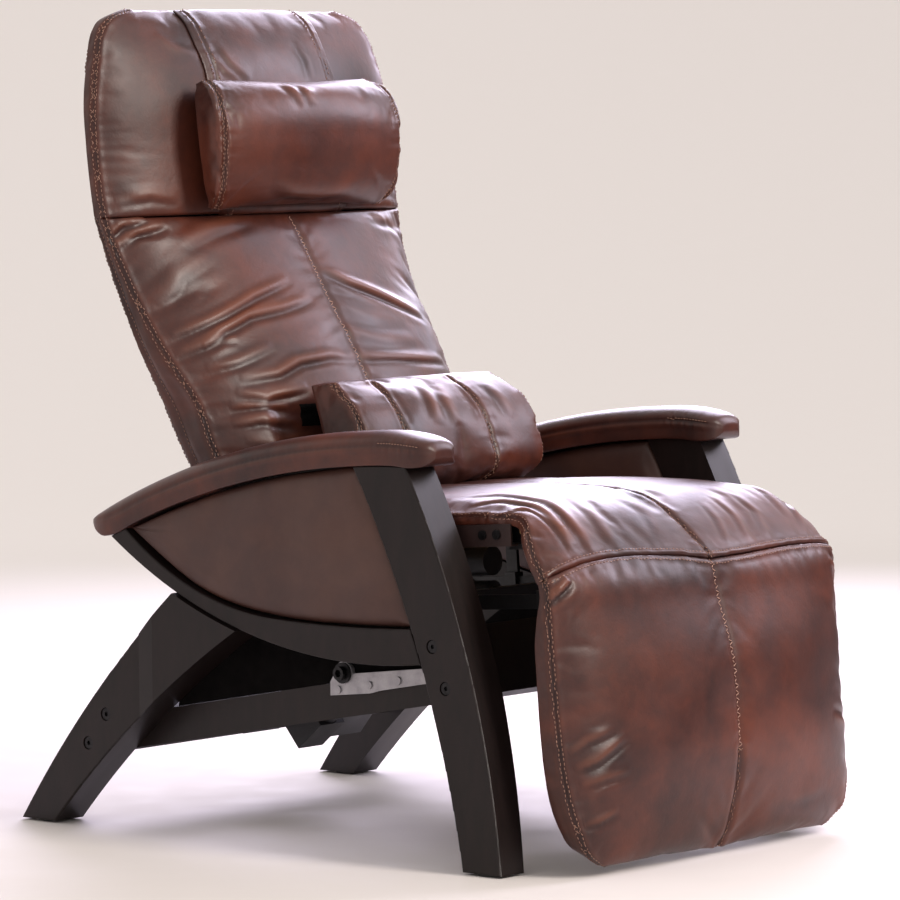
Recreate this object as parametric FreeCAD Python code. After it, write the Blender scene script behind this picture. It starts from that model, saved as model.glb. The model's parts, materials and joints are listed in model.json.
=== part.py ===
import FreeCAD, Part
import math
import os

V = FreeCAD.Vector
os.makedirs("parts", exist_ok=True)

# Power recliner with massage motors. Millimetres: X across, Y to the back, Z up.
# The sitter faces -Y. A point of two numbers is (Y, Z), one of four is an arc's
# end and the point that the arc passes.

# Gaps and fits
CONTACT_GAP = 0.3          # between pads and what they almost touch
PIN_CLEARANCE = 0.05       # radial, pin or bolt in its hole
SLIDE_CLEARANCE = 0.3      # round a sliding bar or rod
SIDE_GAP = 1.0             # between bar, lever and ear, along the pin
LOOP_CLEARANCE = 1.4       # pin in a lever's slot, where the linkage is opened
ROD_EYE_CLEARANCE = 2.3    # pin in the tilt rod's eye, opened too
POCKET_GAP = 1.5           # round the levers, inside the pads

# Timber side frames
LEG_FACE_X = 348.0         # outer faces of the legs from the middle
LEG_THICKNESS = 57.0
LEG_EDGE_RADIUS = 2.5
FOOT_TAPER = 9.0           # taken off the inner side of a front foot
FOOT_TAPER_HEIGHT = 235.0
GLIDE_HEIGHT = 3.0
GLIDE_RADIUS = 20.0
FRONT_LEG_TOP_FRONT = (-216.8, 550.0)
FRONT_LEG_MID_FRONT = (-333.0, 270.0)
FRONT_FOOT_FRONT_Y = -384.0
FRONT_LEG_TOP_BACK = (-119.0, 550.0)
FRONT_LEG_MID_BACK = (-248.0, 268.0)
FRONT_FOOT_BACK_Y = -316.5
REAR_LEG_TOP_BACK = (185.0, 372.0)
REAR_LEG_MID_BACK = (391.0, 175.0)
REAR_FOOT_BACK_Y = 526.0
REAR_LEG_TOP_FRONT = (72.0, 314.0)
REAR_LEG_MID_FRONT = (302.0, 152.0)
REAR_FOOT_FRONT_Y = 458.0
SHOULDER_STEP = 4.0        # the rear leg's upper end stands proud
SHOULDER_BACK_Y = 284.0
SHOULDER_FRONT_Y = 254.0
SHADOW_GROOVE = 3.0        # height of the groove under the arc rail
SHADOW_GROOVE_DEPTH = 8.0
ARC_LOWEST = (-143.5, 270.7)
ARC_BOTTOM_RADIUS = 841.8
# Y of a point on the arc rail's top, and the rail's height there
ARC_FRONT = (-250.0, 48.0)
ARC_FRONT_VIA = (-110.0, 48.4)
ARC_MIDDLE = (20.0, 35.8)
ARC_REAR_VIA = (172.0, 21.9)
ARC_REAR = (312.0, 31.9)
ARC_EDGE_RADIUS = 2.0
FRAME_TOP_Z = 560.0        # above every part of a side frame

# Armrests
ARM_UNDER_CENTRE = (-222.9, -803.2)
ARM_UNDER_RADIUS = 1346.4
ARM_TOP_CENTRE = (-210.7, -741.3)
ARM_TOP_RADIUS = 1331.3
ARM_MIDDLE_X = 313.5
ARM_HALF_WIDTH = 38.5
ARM_BAND = 27.0            # height of the side band under the piping
ARM_BODY_YS = (-205.0, -120.0, -10.0, 100.0, 200.0, 285.0, 330.0)
# Y, underside, top, half width and band at the nose and at the tail
ARM_NOSE = ((-261.0, 554.0, 570.0, 18.0, 8.0), (-257.0, 548.0, 576.5, 27.0, 16.0),
            (-247.0, 543.5, 582.0, 34.0, 23.0), (-231.0, 541.5, 586.5, 37.5, 27.0))
ARM_TAIL = ((353.0, 421.0, 464.5, 36.5, 24.0), (375.0, 429.5, 453.5, 29.0, 13.0),
            (389.0, 437.0, 447.0, 18.0, 4.0))
ARM_CORE = 14.0
ARM_CORE_FRONT_Y = -226.0
ARM_CORE_BACK_Y = 310.0
ARM_CORE_HALF_WIDTH = 31.0

# Leather leaf panels between arm and arc rail
PANEL_OUTER_X = 344.0
PANEL_BOARD_OUTER_X = 320.0
PANEL_BOARD_INNER_X = 306.0
PANEL_INNER_X = 284.5
PANEL_CROWN_RADIUS = 620.0
PANEL_CROWN_Z = 432.0

# Rails, bolts and dowels of the timber frame
FRONT_BOLT_TOP = (-266.0, 303.0)
FRONT_BOLT_LOW = (-289.0, 248.0)
REAR_BOLT_TOP = (352.0, 166.0)
REAR_BOLT_LOW = (388.0, 122.0)
CROSS_RAIL = 30.0
FRONT_RAIL_HEIGHT = 97.0
REAR_RAIL_HEIGHT = 80.0
SIDE_RAIL = 32.0
SIDE_RAIL_HEIGHT = 50.0
SIDE_RAIL_TOP = (-60.0, 237.0)
SIDE_RAIL_FALL = 0.182     # drop per length towards the back
BOLT_RADIUS = 4.0
BOLT_HEAD_RADIUS = 8.5
BOLT_HEAD = 5.0
BOLT_SINK = 6.5            # depth of the counterbore
BOLT_GRIP = 40.0           # length inside the cross rail
SOCKET_WIDTH = 6.0         # across the flats of the hex socket
SOCKET_DEPTH = 3.0
NUT_RADIUS = 6.5
NUT_LENGTH = 18.0
NUT_BACK = 12.0            # nut's middle to the bolt's end
DOWEL_RADIUS = 5.0
DOWEL_HALF = 18.0
LEG_DOWEL_ZS = (289.0, 309.0)
ARM_DOWEL_YS = (-190.0, -155.0)
REAR_DOWEL_YS = (125.0, 175.0)

# Seat pivot
PIVOT = (-60.0, 249.0)
PIVOT_BOLT_RADIUS = 6.0
PIVOT_FLANGE_RADIUS = 14.5
PIVOT_FLANGE = 4.0
PIVOT_HEAD_RADIUS = 9.5
PIVOT_HEAD = 8.0
PIVOT_SOCKET_WIDTH = 10.0
PIVOT_PLATE = 6.0
PIVOT_EAR_RADIUS = 16.0
PIVOT_SPACER_RADIUS = 9.0
PIVOT_NUT = 9.0
PIVOT_NUT_RADIUS = 10.0
PLATE_FRONT_Y = -225.0
PLATE_BACK_Y = -35.0
PLATE_ARM = 20.0           # height of the plate's forward arm
PLATE_LIP_Z = 224.0
PLATE_LIP = 8.0
SCREW_RADIUS = 2.5
SCREW_HEAD_RADIUS = 5.5
SCREW_HEAD = 2.5
SCREW_LENGTH = 22.0
SEAT_ARM_INNER_X = 244.0
SEAT_ARM = 8.0             # thickness of the steel seat arm
SEAT_ARM_FRONT = 280.0
SEAT_ARM_BACK = 480.0
SEAT_ARM_BOSS = 22.0
BUSH_WALL = 3.0

# The knee hinge is the origin of the seat frame. Its points are (back, up) on
# axes that fall towards the back with the frame.
KNEE = (-452.0, 402.0)
SEAT_FALL = 4.0            # degrees
SEAT_RAIL_FRONT = 110.0
SEAT_RAIL_BACK = 540.0
SEAT_RAIL_BOTTOM = 44.0
SEAT_RAIL_TOP = 72.0
SEAT_RAIL_INNER_X = 242.0
SEAT_RAIL_OUTER_X = 266.0
TUBE_WALL = 2.0
WRAP = 2.0                 # leather over the seat rails
SEAT_BOARD = 12.0
SEAT_BOARD_BACK = 534.0
LIP_HALF_WIDTH = 256.0
LIP_FRONT = ((94.0, 66.0), (68.0, 42.0), (45.0, 12.0), (31.0, -9.0))
MEMBER = 30.0              # cross members, front to back
MEMBER_HEIGHT = 24.0
FRONT_MEMBER = 106.0       # their front faces
REAR_MEMBER = 484.0
FRAME_BOLTS = (134.0, 159.0)
FRAME_BOLT_RADIUS = 3.0
FRAME_BOLT_HEAD_RADIUS = 6.5
FRAME_BOLT_HEAD = 3.0

# Linkage: one pair of bars slides along the seat frame and works both levers
BAR_DROP = 38.4            # bar line under the knee hinge
BAR_HEIGHT = 20.0
BAR = 6.0
BAR_INNER_X = 186.0
BAR_END = 12.0             # bar past its pins
BAR_STROKE = 40.0
CROSS_BAR_AT = 320.0
CROSS_BAR = 20.0
LEVER = 6.0
LINK_PIN_RADIUS = 5.0
LINK_PIN_HEAD = 2.0
LINK_PIN_HEAD_RIM = 3.0    # head beyond the pin, all round
BACK_HINGE = (560.0, 55.6)
KNEE_PIN_RADIUS = 3.5
KNEE_KNUCKLE = 7.2
BACK_PIN_RADIUS = 5.0
BACK_KNUCKLE = 14.0
PIN_HEAD = 1.5
PIN_HEAD_RIM = 2.5
SLOT_WALL = 6.0
LEGREST_TURN = 55.0
GUIDE_WALL = 6.0
GUIDE_LENGTH = 20.0

# Recline actuator under the seat, tilt actuator behind it
RECLINE_TUBE_FRONT = 375.0
RECLINE_GEAR_FRONT = 455.0
RECLINE_GEAR_BACK = 492.0
GEAR_HALF_WIDTH = 26.0
MOTOR_RADIUS = 21.0
MOTOR_LENGTH = 80.0
MOTOR_OFFSET = 45.0        # motor axis beside the tube
TUBE_RADIUS = 17.0
ROD_RADIUS = 9.0
ROD_LENGTH = 100.0
TILT_BASE = (310.0, 150.0)
TILT_LUG = (520.0, -10.0)  # on the seat frame
TILT_GEAR_START = -14.0
TILT_GEAR_END = 44.0
TILT_TUBE_END = 225.0
TILT_ROD_START = 130.0
LUG_PIN_RADIUS = 5.0
LUG = 6.0
LUG_RADIUS = 11.0
EYE_HALF = 7.0
EYE_RADIUS = 12.0
BRACKET_HALF_HEIGHT = 34.0
CONTROL_BOX_X = (70.0, 190.0)
CONTROL_BOX_DEPTH = 38.0
CONTROL_BOX_HALF_HEIGHT = 32.0
INLET_WIDTH = 28.0
INLET_HEIGHT = 22.0
INLET_DEPTH = 5.0
INLET_WALL = 3.0

# Seat cushion stations: inner end, outer end, half width, side height.
# Those on the board are (back, rise over the board) at both ends.
SEAT_PAD_ON_BOARD = ((548.0, 548.0, 28.0, 240.0, 12.0), (500.0, 500.0, 40.0, 262.0, 16.0),
                     (350.0, 350.0, 44.0, 266.0, 14.0), (230.0, 225.0, 41.0, 268.0, 12.0),
                     (150.0, 140.0, 32.0, 268.0, 12.0))
SEAT_PAD_LIP = (((95.0, 66.0), (82.0, 91.0), 270.0, 12.0), ((68.0, 42.0), (38.0, 59.0), 296.0, 12.0),
                ((45.0, 12.0), (8.0, 34.0), 310.0, 12.0), ((30.0, -10.0), (-10.5, 8.5), 314.0, 12.0))
PAD_BITE = 1.0             # pads are drawn this deep into a board, then cut by it
# Shares of a crown's height that stand at 0.62 and at 0.87 of a pad's half width
FIRM_CROWN = (0.86, 0.56)
LOOSE_CROWN = (0.80, 0.47)
FLAT_CROWN = (0.70, 0.32)

# Back: front line of its board, with half widths of the board
BACK_BOARD = 12.0
BACK_LINE = ((215.0, 440.0, 226.0), (352.0, 765.0, 290.0), (385.0, 880.0, 304.0),
             (412.0, 1110.0, 288.0), (418.0, 1150.0, 258.0))
# Height on the board line, front centre, half width, side thickness
BACK_PAD = ((452.0, (112.0, 450.0), 244.0, 40.0), (480.0, (108.0, 478.0), 256.0, 48.0),
            (543.0, (112.0, 538.0), 268.0, 48.0), (614.0, (147.0, 618.0), 279.0, 50.0),
            (645.0, (161.5, 645.0), 287.0, 44.0), (680.0, (185.0, 685.0), 294.0, 34.0),
            (753.0, (234.0, 758.0), 300.0, 18.0), (838.0, (287.0, 842.0), 312.0, 7.0),
            (868.5, (306.0, 870.0), 317.0, 7.0))
HEAD_PAD = ((870.0, (309.0, 872.0), 317.0, 7.0), (925.0, (315.0, 925.0), 318.0, 6.0),
            (975.0, (321.0, 975.0), 318.0, 6.0), (1038.0, (329.0, 1040.0), 314.0, 8.0),
            (1090.0, (345.0, 1090.0), 301.0, 8.0), (1135.0, (368.0, 1128.0), 283.0, 7.0),
            (1158.0, (392.0, 1160.0), 252.0, 6.0), (1166.0, (405.0, 1167.0), 225.0, 5.0))
BACK_COVER_CROWN = 20.0
BACK_COVER_RIM = 5.0
# Height on the board line and half width of the padded rear cover
BACK_COVER = ((456.0, 235.0), (543.0, 264.0), (614.0, 275.0), (680.0, 287.0), (765.0, 296.0),
              (880.0, 309.0), (975.0, 308.0), (1060.0, 303.0), (1110.0, 291.0), (1148.0, 264.0))
FLAP = 3.2
FLAP_HALF_WIDTH = 135.0
FLAP_POINTS = ((309.0, 874.0), (315.0, 925.0), (321.0, 975.0), (329.0, 1040.0), (345.0, 1090.0),
               (368.0, 1128.0), (391.0, 1157.0), (402.0, 1165.0))
BACK_LEVER_FOOT = (286.0, 545.0)

# Leg rest: front line of its board
LEGREST_BOARD = 12.0
LEGREST_BOARD_HALF_WIDTH = 290.0
LEGREST_LINE = ((-426.5, 350.0), (-430.5, 280.0), (-434.5, 205.0), (-440.0, 140.0),
                (-446.0, 100.0), (-455.0, 64.0))
LEGREST_PAD = (((-422.6, 388.5), (-462.4, 410.2), 314.0, 12.0),
               ((-427.0, 350.0), (-484.0, 357.0), 316.0, 14.0),
               ((-431.0, 280.0), (-507.0, 286.0), 316.0, 16.0),
               ((-435.0, 205.0), (-517.0, 212.0), 314.0, 18.0),
               ((-440.5, 140.0), (-520.0, 148.0), 311.0, 20.0),
               ((-446.5, 100.0), (-515.0, 100.0), 306.0, 22.0),
               ((-456.0, 60.0), (-503.0, 52.0), 297.0, 22.0),
               ((-467.0, 17.0), (-480.0, 7.0), 268.0, 9.0))
LEGREST_LEVER_FOOT = 230.0
# Corners of the room for the levers inside the leg rest, on the seat frame's axes
LEGREST_POCKET = ((-10.0, 8.0), (-10.0, -10.0), (-3.0, -63.0), (48.0, -63.0), (48.0, 8.0))

# Loose pillows: rear centre, front centre, half width, front rim, rear rim
HEAD_PILLOW = (((304.0, 880.0), (285.0, 879.0), 182.0, 12.0, 5.0),
               ((306.6, 900.0), (262.0, 897.0), 192.0, 30.0, 10.0),
               ((312.0, 940.0), (246.0, 935.0), 197.0, 44.0, 12.0),
               ((318.0, 985.0), (241.0, 980.0), 198.0, 52.0, 12.0),
               ((323.4, 1025.0), (247.0, 1024.0), 197.0, 50.0, 12.0),
               ((326.7, 1050.0), (268.0, 1053.0), 191.0, 36.0, 10.0),
               ((328.3, 1062.0), (300.0, 1066.0), 180.0, 16.0, 5.0))
LUMBAR_PILLOW = (((85.0, 492.0), (-5.0, 488.0), 176.0, 72.0, 30.0),
                 ((98.0, 520.0), (-30.0, 505.0), 186.0, 105.0, 40.0),
                 ((108.0, 562.0), (-22.0, 555.0), 190.0, 112.0, 45.0),
                 ((122.0, 600.0), (8.0, 606.0), 186.0, 100.0, 42.0),
                 ((132.0, 630.0), (55.0, 637.0), 173.0, 62.0, 25.0))
STRAP = 2.0
STRAP_HALF_WIDTH = 45.0
STRAP_START = (112.0, 604.0)
STRAP_BEND_Z = 620.0
STRAP_END_Z = 642.0

# Massage motors and heater
MASSAGE_RADIUS = 34.0
MASSAGE_HEIGHT = 18.0
BACK_MASSAGE_X = 110.0
BACK_MASSAGE_AT = (90.0, 265.0)      # up the back board's lower run
SEAT_MASSAGE_X = 115.0
SEAT_MASSAGE_AT = 330.0
CALF_MASSAGE_X = 130.0
CALF_MASSAGE_Z = 242.0
HEATER = 2.0
HEATER_HALF_WIDTH = 60.0
HEATER_AT = (130.0, 225.0)

ARC_BOTTOM_CENTRE = (ARC_LOWEST[0], ARC_LOWEST[1] + ARC_BOTTOM_RADIUS)
LEG_INNER_X = LEG_FACE_X - LEG_THICKNESS
SIDE_RAIL_INNER_X = LEG_INNER_X - SIDE_RAIL
SEAT_ARM_OUTER_X = SEAT_ARM_INNER_X + SEAT_ARM
BAR_OUTER_X = BAR_INNER_X + BAR
LEVER_X = BAR_OUTER_X + SIDE_GAP
LEVER_OUTER_X = LEVER_X + LEVER
EAR_X = LEVER_OUTER_X + SIDE_GAP
EAR_OUTER_X = EAR_X + LEVER
BOARD_BOTTOM = SEAT_RAIL_TOP - SEAT_BOARD
MEMBER_BOTTOM = BOARD_BOTTOM - MEMBER_HEIGHT
BAR_PIN = BAR_STROKE / 2   # pins stand this far behind the hinges at rest


def seat(back, up):
    """World (Y, Z) of a point on the seat frame's axes."""
    fall = math.radians(SEAT_FALL)
    y = KNEE[0] + back * math.cos(fall) + up * math.sin(fall)
    z = KNEE[1] - back * math.sin(fall) + up * math.cos(fall)
    return (y, z)


def seat_points(points):
    """The same for points of two or four numbers."""
    moved = []
    for point in points:
        moved.append(seat(*point[:2]) + (seat(*point[2:]) if len(point) == 4 else ()))
    return moved


def at(x, point):
    return V(x, point[0], point[1])


def along(start, end, distance, across=0.0):
    """The point that far from start towards end, and that far to the left of the way."""
    length = math.hypot(end[0] - start[0], end[1] - start[1])
    step = ((end[0] - start[0]) / length, (end[1] - start[1]) / length)
    return (start[0] + step[0] * distance - step[1] * across,
            start[1] + step[1] * distance + step[0] * across)


def middle(first, second):
    return ((first[0] + second[0]) / 2, (first[1] + second[1]) / 2)


def turned(point, centre, degrees):
    """The point turned about a centre, the way that the back reclines."""
    turn = math.radians(degrees)
    y = point[0] - centre[0]
    z = point[1] - centre[1]
    return (centre[0] + y * math.cos(turn) + z * math.sin(turn),
            centre[1] - y * math.sin(turn) + z * math.cos(turn))


def meet(first_a, first_b, second_a, second_b):
    """Where the line through the first pair crosses the line through the second."""
    dy = first_b[0] - first_a[0]
    dz = first_b[1] - first_a[1]
    ey = second_b[0] - second_a[0]
    ez = second_b[1] - second_a[1]
    share = ((second_a[0] - first_a[0]) * ez - (second_a[1] - first_a[1]) * ey) / (dy * ez - dz * ey)
    return (first_a[0] + share * dy, first_a[1] + share * dz)


def circle_top(centre, radius, y):
    return centre[1] + math.sqrt(radius ** 2 - (y - centre[0]) ** 2)


def circle_bottom(centre, radius, y):
    return centre[1] - math.sqrt(radius ** 2 - (y - centre[0]) ** 2)


def arc_top(point):
    """World (Y, Z) of a point on the arc rail's top."""
    return (point[0], circle_bottom(ARC_BOTTOM_CENTRE, ARC_BOTTOM_RADIUS, point[0]) + point[1])


def on_line(line, z):
    """The point at that height on a line of points, run on past its ends."""
    pairs = list(zip(line, line[1:]))
    for low, high in pairs:
        if min(low[1], high[1]) <= z <= max(low[1], high[1]):
            break
    else:
        low, high = pairs[0] if abs(z - line[0][1]) < abs(z - line[-1][1]) else pairs[-1]
    share = (z - low[1]) / (high[1] - low[1])
    return (low[0] + share * (high[0] - low[0]), z)


def outline(*points):
    """A closed wire at X=0 through points, by lines and arcs."""
    edges = []
    here = points[0][:2]
    for point in points[1:]:
        if len(point) == 4:
            edges.append(Part.Arc(at(0, here), at(0, point[2:]), at(0, point[:2])).toShape())
        else:
            edges.append(Part.LineSegment(at(0, here), at(0, point)).toShape())
        here = point[:2]
    if at(0, here).distanceToPoint(at(0, points[0])) > 0.001:
        edges.append(Part.LineSegment(at(0, here), at(0, points[0])).toShape())
    return Part.Wire(edges)


def prism(points, x_low, x_high):
    face = Part.Face(outline(*points))
    face.translate(V(x_low, 0, 0))
    return face.extrude(V(x_high - x_low, 0, 0))


def seat_prism(points, x_low, x_high):
    return prism(seat_points(points), x_low, x_high)


def seat_block(back, up, x):
    """A block on the seat frame's axes, from three pairs of limits."""
    corners = [(back[0], up[0]), (back[1], up[0]), (back[1], up[1]), (back[0], up[1])]
    return seat_prism(corners, x[0], x[1])


def rod(point, radius, x_low, x_high):
    """A cylinder along X."""
    return Part.makeCylinder(radius, x_high - x_low, at(x_low, point), V(1, 0, 0))


def rod_between(start, end, radius, x=0.0):
    """A cylinder in the plane X=x."""
    direction = at(0, end) - at(0, start)
    return Part.makeCylinder(radius, direction.Length, at(x, start), direction)


def bar_between(start, end, half_height, x_low, x_high, overrun=0.0):
    """A straight bar with square ends."""
    length = math.hypot(end[0] - start[0], end[1] - start[1]) + overrun
    corners = [along(start, end, -overrun, -half_height), along(start, end, length, -half_height),
               along(start, end, length, half_height), along(start, end, -overrun, half_height)]
    return prism(corners, x_low, x_high)


def capsule(start, end, radius, x_low, x_high):
    """A bar with round ends about two points."""
    shape = bar_between(start, end, radius, x_low, x_high)
    shape = shape.fuse([rod(start, radius, x_low, x_high), rod(end, radius, x_low, x_high)])
    return shape.removeSplitter()


def hexagon(point, width, x_low, x_high):
    """A hexagonal prism along X, measured across its flats."""
    radius = width / math.sqrt(3)
    corners = []
    for side in range(6):
        turn = math.radians(60 * side)
        corners.append((point[0] + radius * math.cos(turn), point[1] + radius * math.sin(turn)))
    return prism(corners, x_low, x_high)


def mirrored(shape):
    return shape.mirror(V(0, 0, 0), V(1, 0, 0))


def pair(shapes):
    """Shapes on the left, with the same on the right."""
    group = []
    for shape in shapes:
        group.append(shape)
        group.append(mirrored(shape))
    return Part.Compound(group)


def fused(shapes):
    return shapes[0].fuse(shapes[1:]).removeSplitter()


def rounded(shape, radius, x):
    """Fillet the edges that lie wholly in the plane X=x."""
    edges = []
    for edge in shape.Edges:
        box = edge.BoundBox
        if abs(box.XMin - x) < 0.01 and abs(box.XMax - x) < 0.01 and edge.Length > 4 * radius:
            edges.append(edge)
    return shape.makeFillet(radius, edges)


def pad_wire(inner, outer, half_width, rim, inner_rim, middle_x, crown_shares):
    """
    One section across a pad, in the plane of X and the line from inner to outer.
    Straight sides run from inner_rim to rim, and the crown rises from there to outer.
    """
    height = math.hypot(outer[0] - inner[0], outer[1] - inner[1])
    shoulder = rim + crown_shares[0] * (height - rim)
    edge = rim + crown_shares[1] * (height - rim)

    def point(share, distance):
        return at(middle_x + share * half_width, along(inner, outer, distance))

    edges = [
        Part.LineSegment(point(-1, inner_rim), point(-1, rim)).toShape(),
        Part.Arc(point(-1, rim), point(-0.87, edge), point(-0.62, shoulder)).toShape(),
        Part.Arc(point(-0.62, shoulder), point(0, height), point(0.62, shoulder)).toShape(),
        Part.Arc(point(0.62, shoulder), point(0.87, edge), point(1, rim)).toShape(),
        Part.LineSegment(point(1, rim), point(1, inner_rim)).toShape(),
    ]
    if inner_rim > 0:
        edges.append(Part.Arc(point(1, inner_rim), point(0, 0), point(-1, inner_rim)).toShape())
    else:
        edges.append(Part.LineSegment(point(1, 0), point(-1, 0)).toShape())
    return Part.Wire(edges)


def crowned_pad(stations, crown_shares=FIRM_CROWN, middle_x=0.0):
    """A pad through stations of inner point, outer point, half width, rim and maybe rear rim."""
    wires = []
    for station in stations:
        inner_rim = station[4] if len(station) > 4 else 0.0
        wires.append(pad_wire(*station[:4], inner_rim, middle_x, crown_shares))
    return Part.makeLoft(wires, True, False, False, 3)


def board(line, thickness):
    """A board behind a front line of points, each with its half width."""
    wires = []
    for index, (y, z, half_width) in enumerate(line):
        before = line[max(index - 1, 0)]
        after = line[min(index + 1, len(line) - 1)]
        behind = along((y, z), (y + after[0] - before[0], z + after[1] - before[1]), 0, -thickness)
        wires.append(Part.makePolygon([at(-half_width, (y, z)), at(half_width, (y, z)),
                                       at(half_width, behind), at(-half_width, behind),
                                       at(-half_width, (y, z))]))
    return Part.makeLoft(wires, True, True)


def motor_disc(point, toward, x, extra=0.0):
    """A massage motor on a board, its axis from point toward another point."""
    direction = at(0, toward) - at(0, point)
    return Part.makeCylinder(MASSAGE_RADIUS + extra, MASSAGE_HEIGHT + extra, at(x, point), direction)


def export(name, shape):
    if shape.ShapeType == "Compound" and len(shape.Solids) == 1:
        shape = shape.Solids[0]
    shape.exportStep("parts/" + name + ".step")


def export_sides(name, shape):
    export(name + "_left", shape)
    export(name + "_right", mirrored(shape))


# Timber frame

def under_arm(x_low, x_high):
    """Everything below the armrest's underside."""
    return rod(ARM_UNDER_CENTRE, ARM_UNDER_RADIUS, x_low, x_high)


def above_arc(x_low, x_high):
    """Everything above the arc rail's lower edge."""
    return rod(ARC_BOTTOM_CENTRE, ARC_BOTTOM_RADIUS, x_low, x_high)


def front_leg_blank(x_low, x_high):
    points = [(FRONT_FOOT_FRONT_Y, GLIDE_HEIGHT), (FRONT_FOOT_BACK_Y, GLIDE_HEIGHT),
              FRONT_LEG_TOP_BACK + FRONT_LEG_MID_BACK, FRONT_LEG_TOP_FRONT,
              (FRONT_FOOT_FRONT_Y, GLIDE_HEIGHT) + FRONT_LEG_MID_FRONT]
    return prism(points, x_low, x_high).common(under_arm(x_low, x_high))


def arc_rail_blank(x_low, x_high):
    front_y = ARC_FRONT[0]
    back_y = ARC_REAR[0] + CROSS_RAIL
    via_y = (front_y + back_y) / 2
    points = [(front_y, circle_bottom(ARC_BOTTOM_CENTRE, ARC_BOTTOM_RADIUS, front_y)),
              (back_y, circle_bottom(ARC_BOTTOM_CENTRE, ARC_BOTTOM_RADIUS, back_y),
               via_y, circle_bottom(ARC_BOTTOM_CENTRE, ARC_BOTTOM_RADIUS, via_y)),
              arc_top(ARC_REAR), arc_top(ARC_MIDDLE) + arc_top(ARC_REAR_VIA),
              arc_top(ARC_FRONT) + arc_top(ARC_FRONT_VIA)]
    rail = prism(points, x_low, x_high).common(under_arm(x_low, x_high))
    return rail.cut(front_leg_blank(x_low, x_high))


def leaf_blank(x_low, x_high):
    """The leaf-shaped space between leg, arc rail and armrest."""
    points = [arc_top(ARC_FRONT), arc_top(ARC_MIDDLE) + arc_top(ARC_FRONT_VIA),
              arc_top(ARC_REAR) + arc_top(ARC_REAR_VIA), (ARC_REAR[0], FRAME_TOP_Z),
              (FRONT_LEG_TOP_BACK[0] - LEG_THICKNESS, FRAME_TOP_Z)]
    leaf = prism(points, x_low, x_high).common(under_arm(x_low, x_high))
    return leaf.cut(front_leg_blank(x_low, x_high))


def bolt_holes(points):
    """Holes and counterbores of the leg bolts at these points."""
    holes = []
    for point in points:
        holes.append(rod(point, BOLT_RADIUS + PIN_CLEARANCE, LEG_INNER_X - BOLT_GRIP, LEG_FACE_X))
        holes.append(rod(point, BOLT_HEAD_RADIUS + SIDE_GAP, LEG_FACE_X - BOLT_SINK, LEG_FACE_X))
    return holes


def dowels():
    """Dowels of the left frame: leg to arc rail, leg to arm core, rear leg to arc rail."""
    middle_x = LEG_FACE_X - LEG_THICKNESS / 2
    found = []
    leg_back = Part.Arc(at(0, FRONT_LEG_TOP_BACK), at(0, FRONT_LEG_MID_BACK),
                        V(0, FRONT_FOOT_BACK_Y, GLIDE_HEIGHT))
    for z in LEG_DOWEL_ZS:
        level = Part.LineSegment(V(0, FRONT_FOOT_BACK_Y, z), V(0, FRONT_LEG_TOP_BACK[0], z))
        joint_y = leg_back.toShape().distToShape(level.toShape())[1][0][0].y
        ends = ((joint_y - DOWEL_HALF, z), (joint_y + DOWEL_HALF, z))
        found.append(rod_between(*ends, DOWEL_RADIUS, middle_x))
    for y in ARM_DOWEL_YS:
        top = circle_top(ARM_UNDER_CENTRE, ARM_UNDER_RADIUS, y)
        found.append(rod_between((y, top - DOWEL_HALF), (y, top + ARM_CORE / 2), DOWEL_RADIUS, ARM_MIDDLE_X))
    for y in REAR_DOWEL_YS:
        joint = (y, circle_bottom(ARC_BOTTOM_CENTRE, ARC_BOTTOM_RADIUS, y))
        found.append(rod_between(along(joint, ARC_BOTTOM_CENTRE, -DOWEL_HALF),
                                 along(joint, ARC_BOTTOM_CENTRE, DOWEL_HALF / 2), DOWEL_RADIUS, middle_x))
    return found


def front_leg():
    leg = rounded(front_leg_blank(LEG_INNER_X, LEG_FACE_X), LEG_EDGE_RADIUS, LEG_FACE_X)
    corners = []
    for x, z in ((LEG_INNER_X, 0), (LEG_INNER_X + FOOT_TAPER, 0), (LEG_INNER_X, FOOT_TAPER_HEIGHT)):
        corners.append(V(x, FRONT_FOOT_FRONT_Y, z))
    taper = Part.Face(Part.makePolygon(corners + corners[:1]))
    taper = taper.extrude(V(0, FRONT_LEG_TOP_BACK[0] - FRONT_FOOT_FRONT_Y, 0))
    return leg.cut([taper] + bolt_holes([FRONT_BOLT_TOP, FRONT_BOLT_LOW]) + dowels())


def rear_leg():
    proud_x = LEG_FACE_X + SHOULDER_STEP
    points = [(REAR_FOOT_FRONT_Y, GLIDE_HEIGHT), (REAR_FOOT_BACK_Y, GLIDE_HEIGHT),
              REAR_LEG_TOP_BACK + REAR_LEG_MID_BACK, REAR_LEG_TOP_FRONT,
              (REAR_FOOT_FRONT_Y, GLIDE_HEIGHT) + REAR_LEG_MID_FRONT]
    leg = prism(points, LEG_INNER_X, proud_x).cut(above_arc(LEG_INNER_X, proud_x))
    corners = []
    for x, y in ((proud_x, SHOULDER_FRONT_Y), (LEG_FACE_X, SHOULDER_BACK_Y),
                 (LEG_FACE_X, REAR_FOOT_BACK_Y), (proud_x, REAR_FOOT_BACK_Y)):
        corners.append(V(x, y, 0))
    step = Part.Face(Part.makePolygon(corners + corners[:1])).extrude(V(0, 0, REAR_LEG_TOP_BACK[1]))
    groove_x = LEG_FACE_X - SHADOW_GROOVE_DEPTH
    groove = rod(ARC_BOTTOM_CENTRE, ARC_BOTTOM_RADIUS + SHADOW_GROOVE, groove_x, proud_x)
    leg = rounded(leg.cut(step), LEG_EDGE_RADIUS, LEG_FACE_X)
    return leg.cut([groove] + bolt_holes([REAR_BOLT_TOP, REAR_BOLT_LOW]) + dowels())


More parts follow.
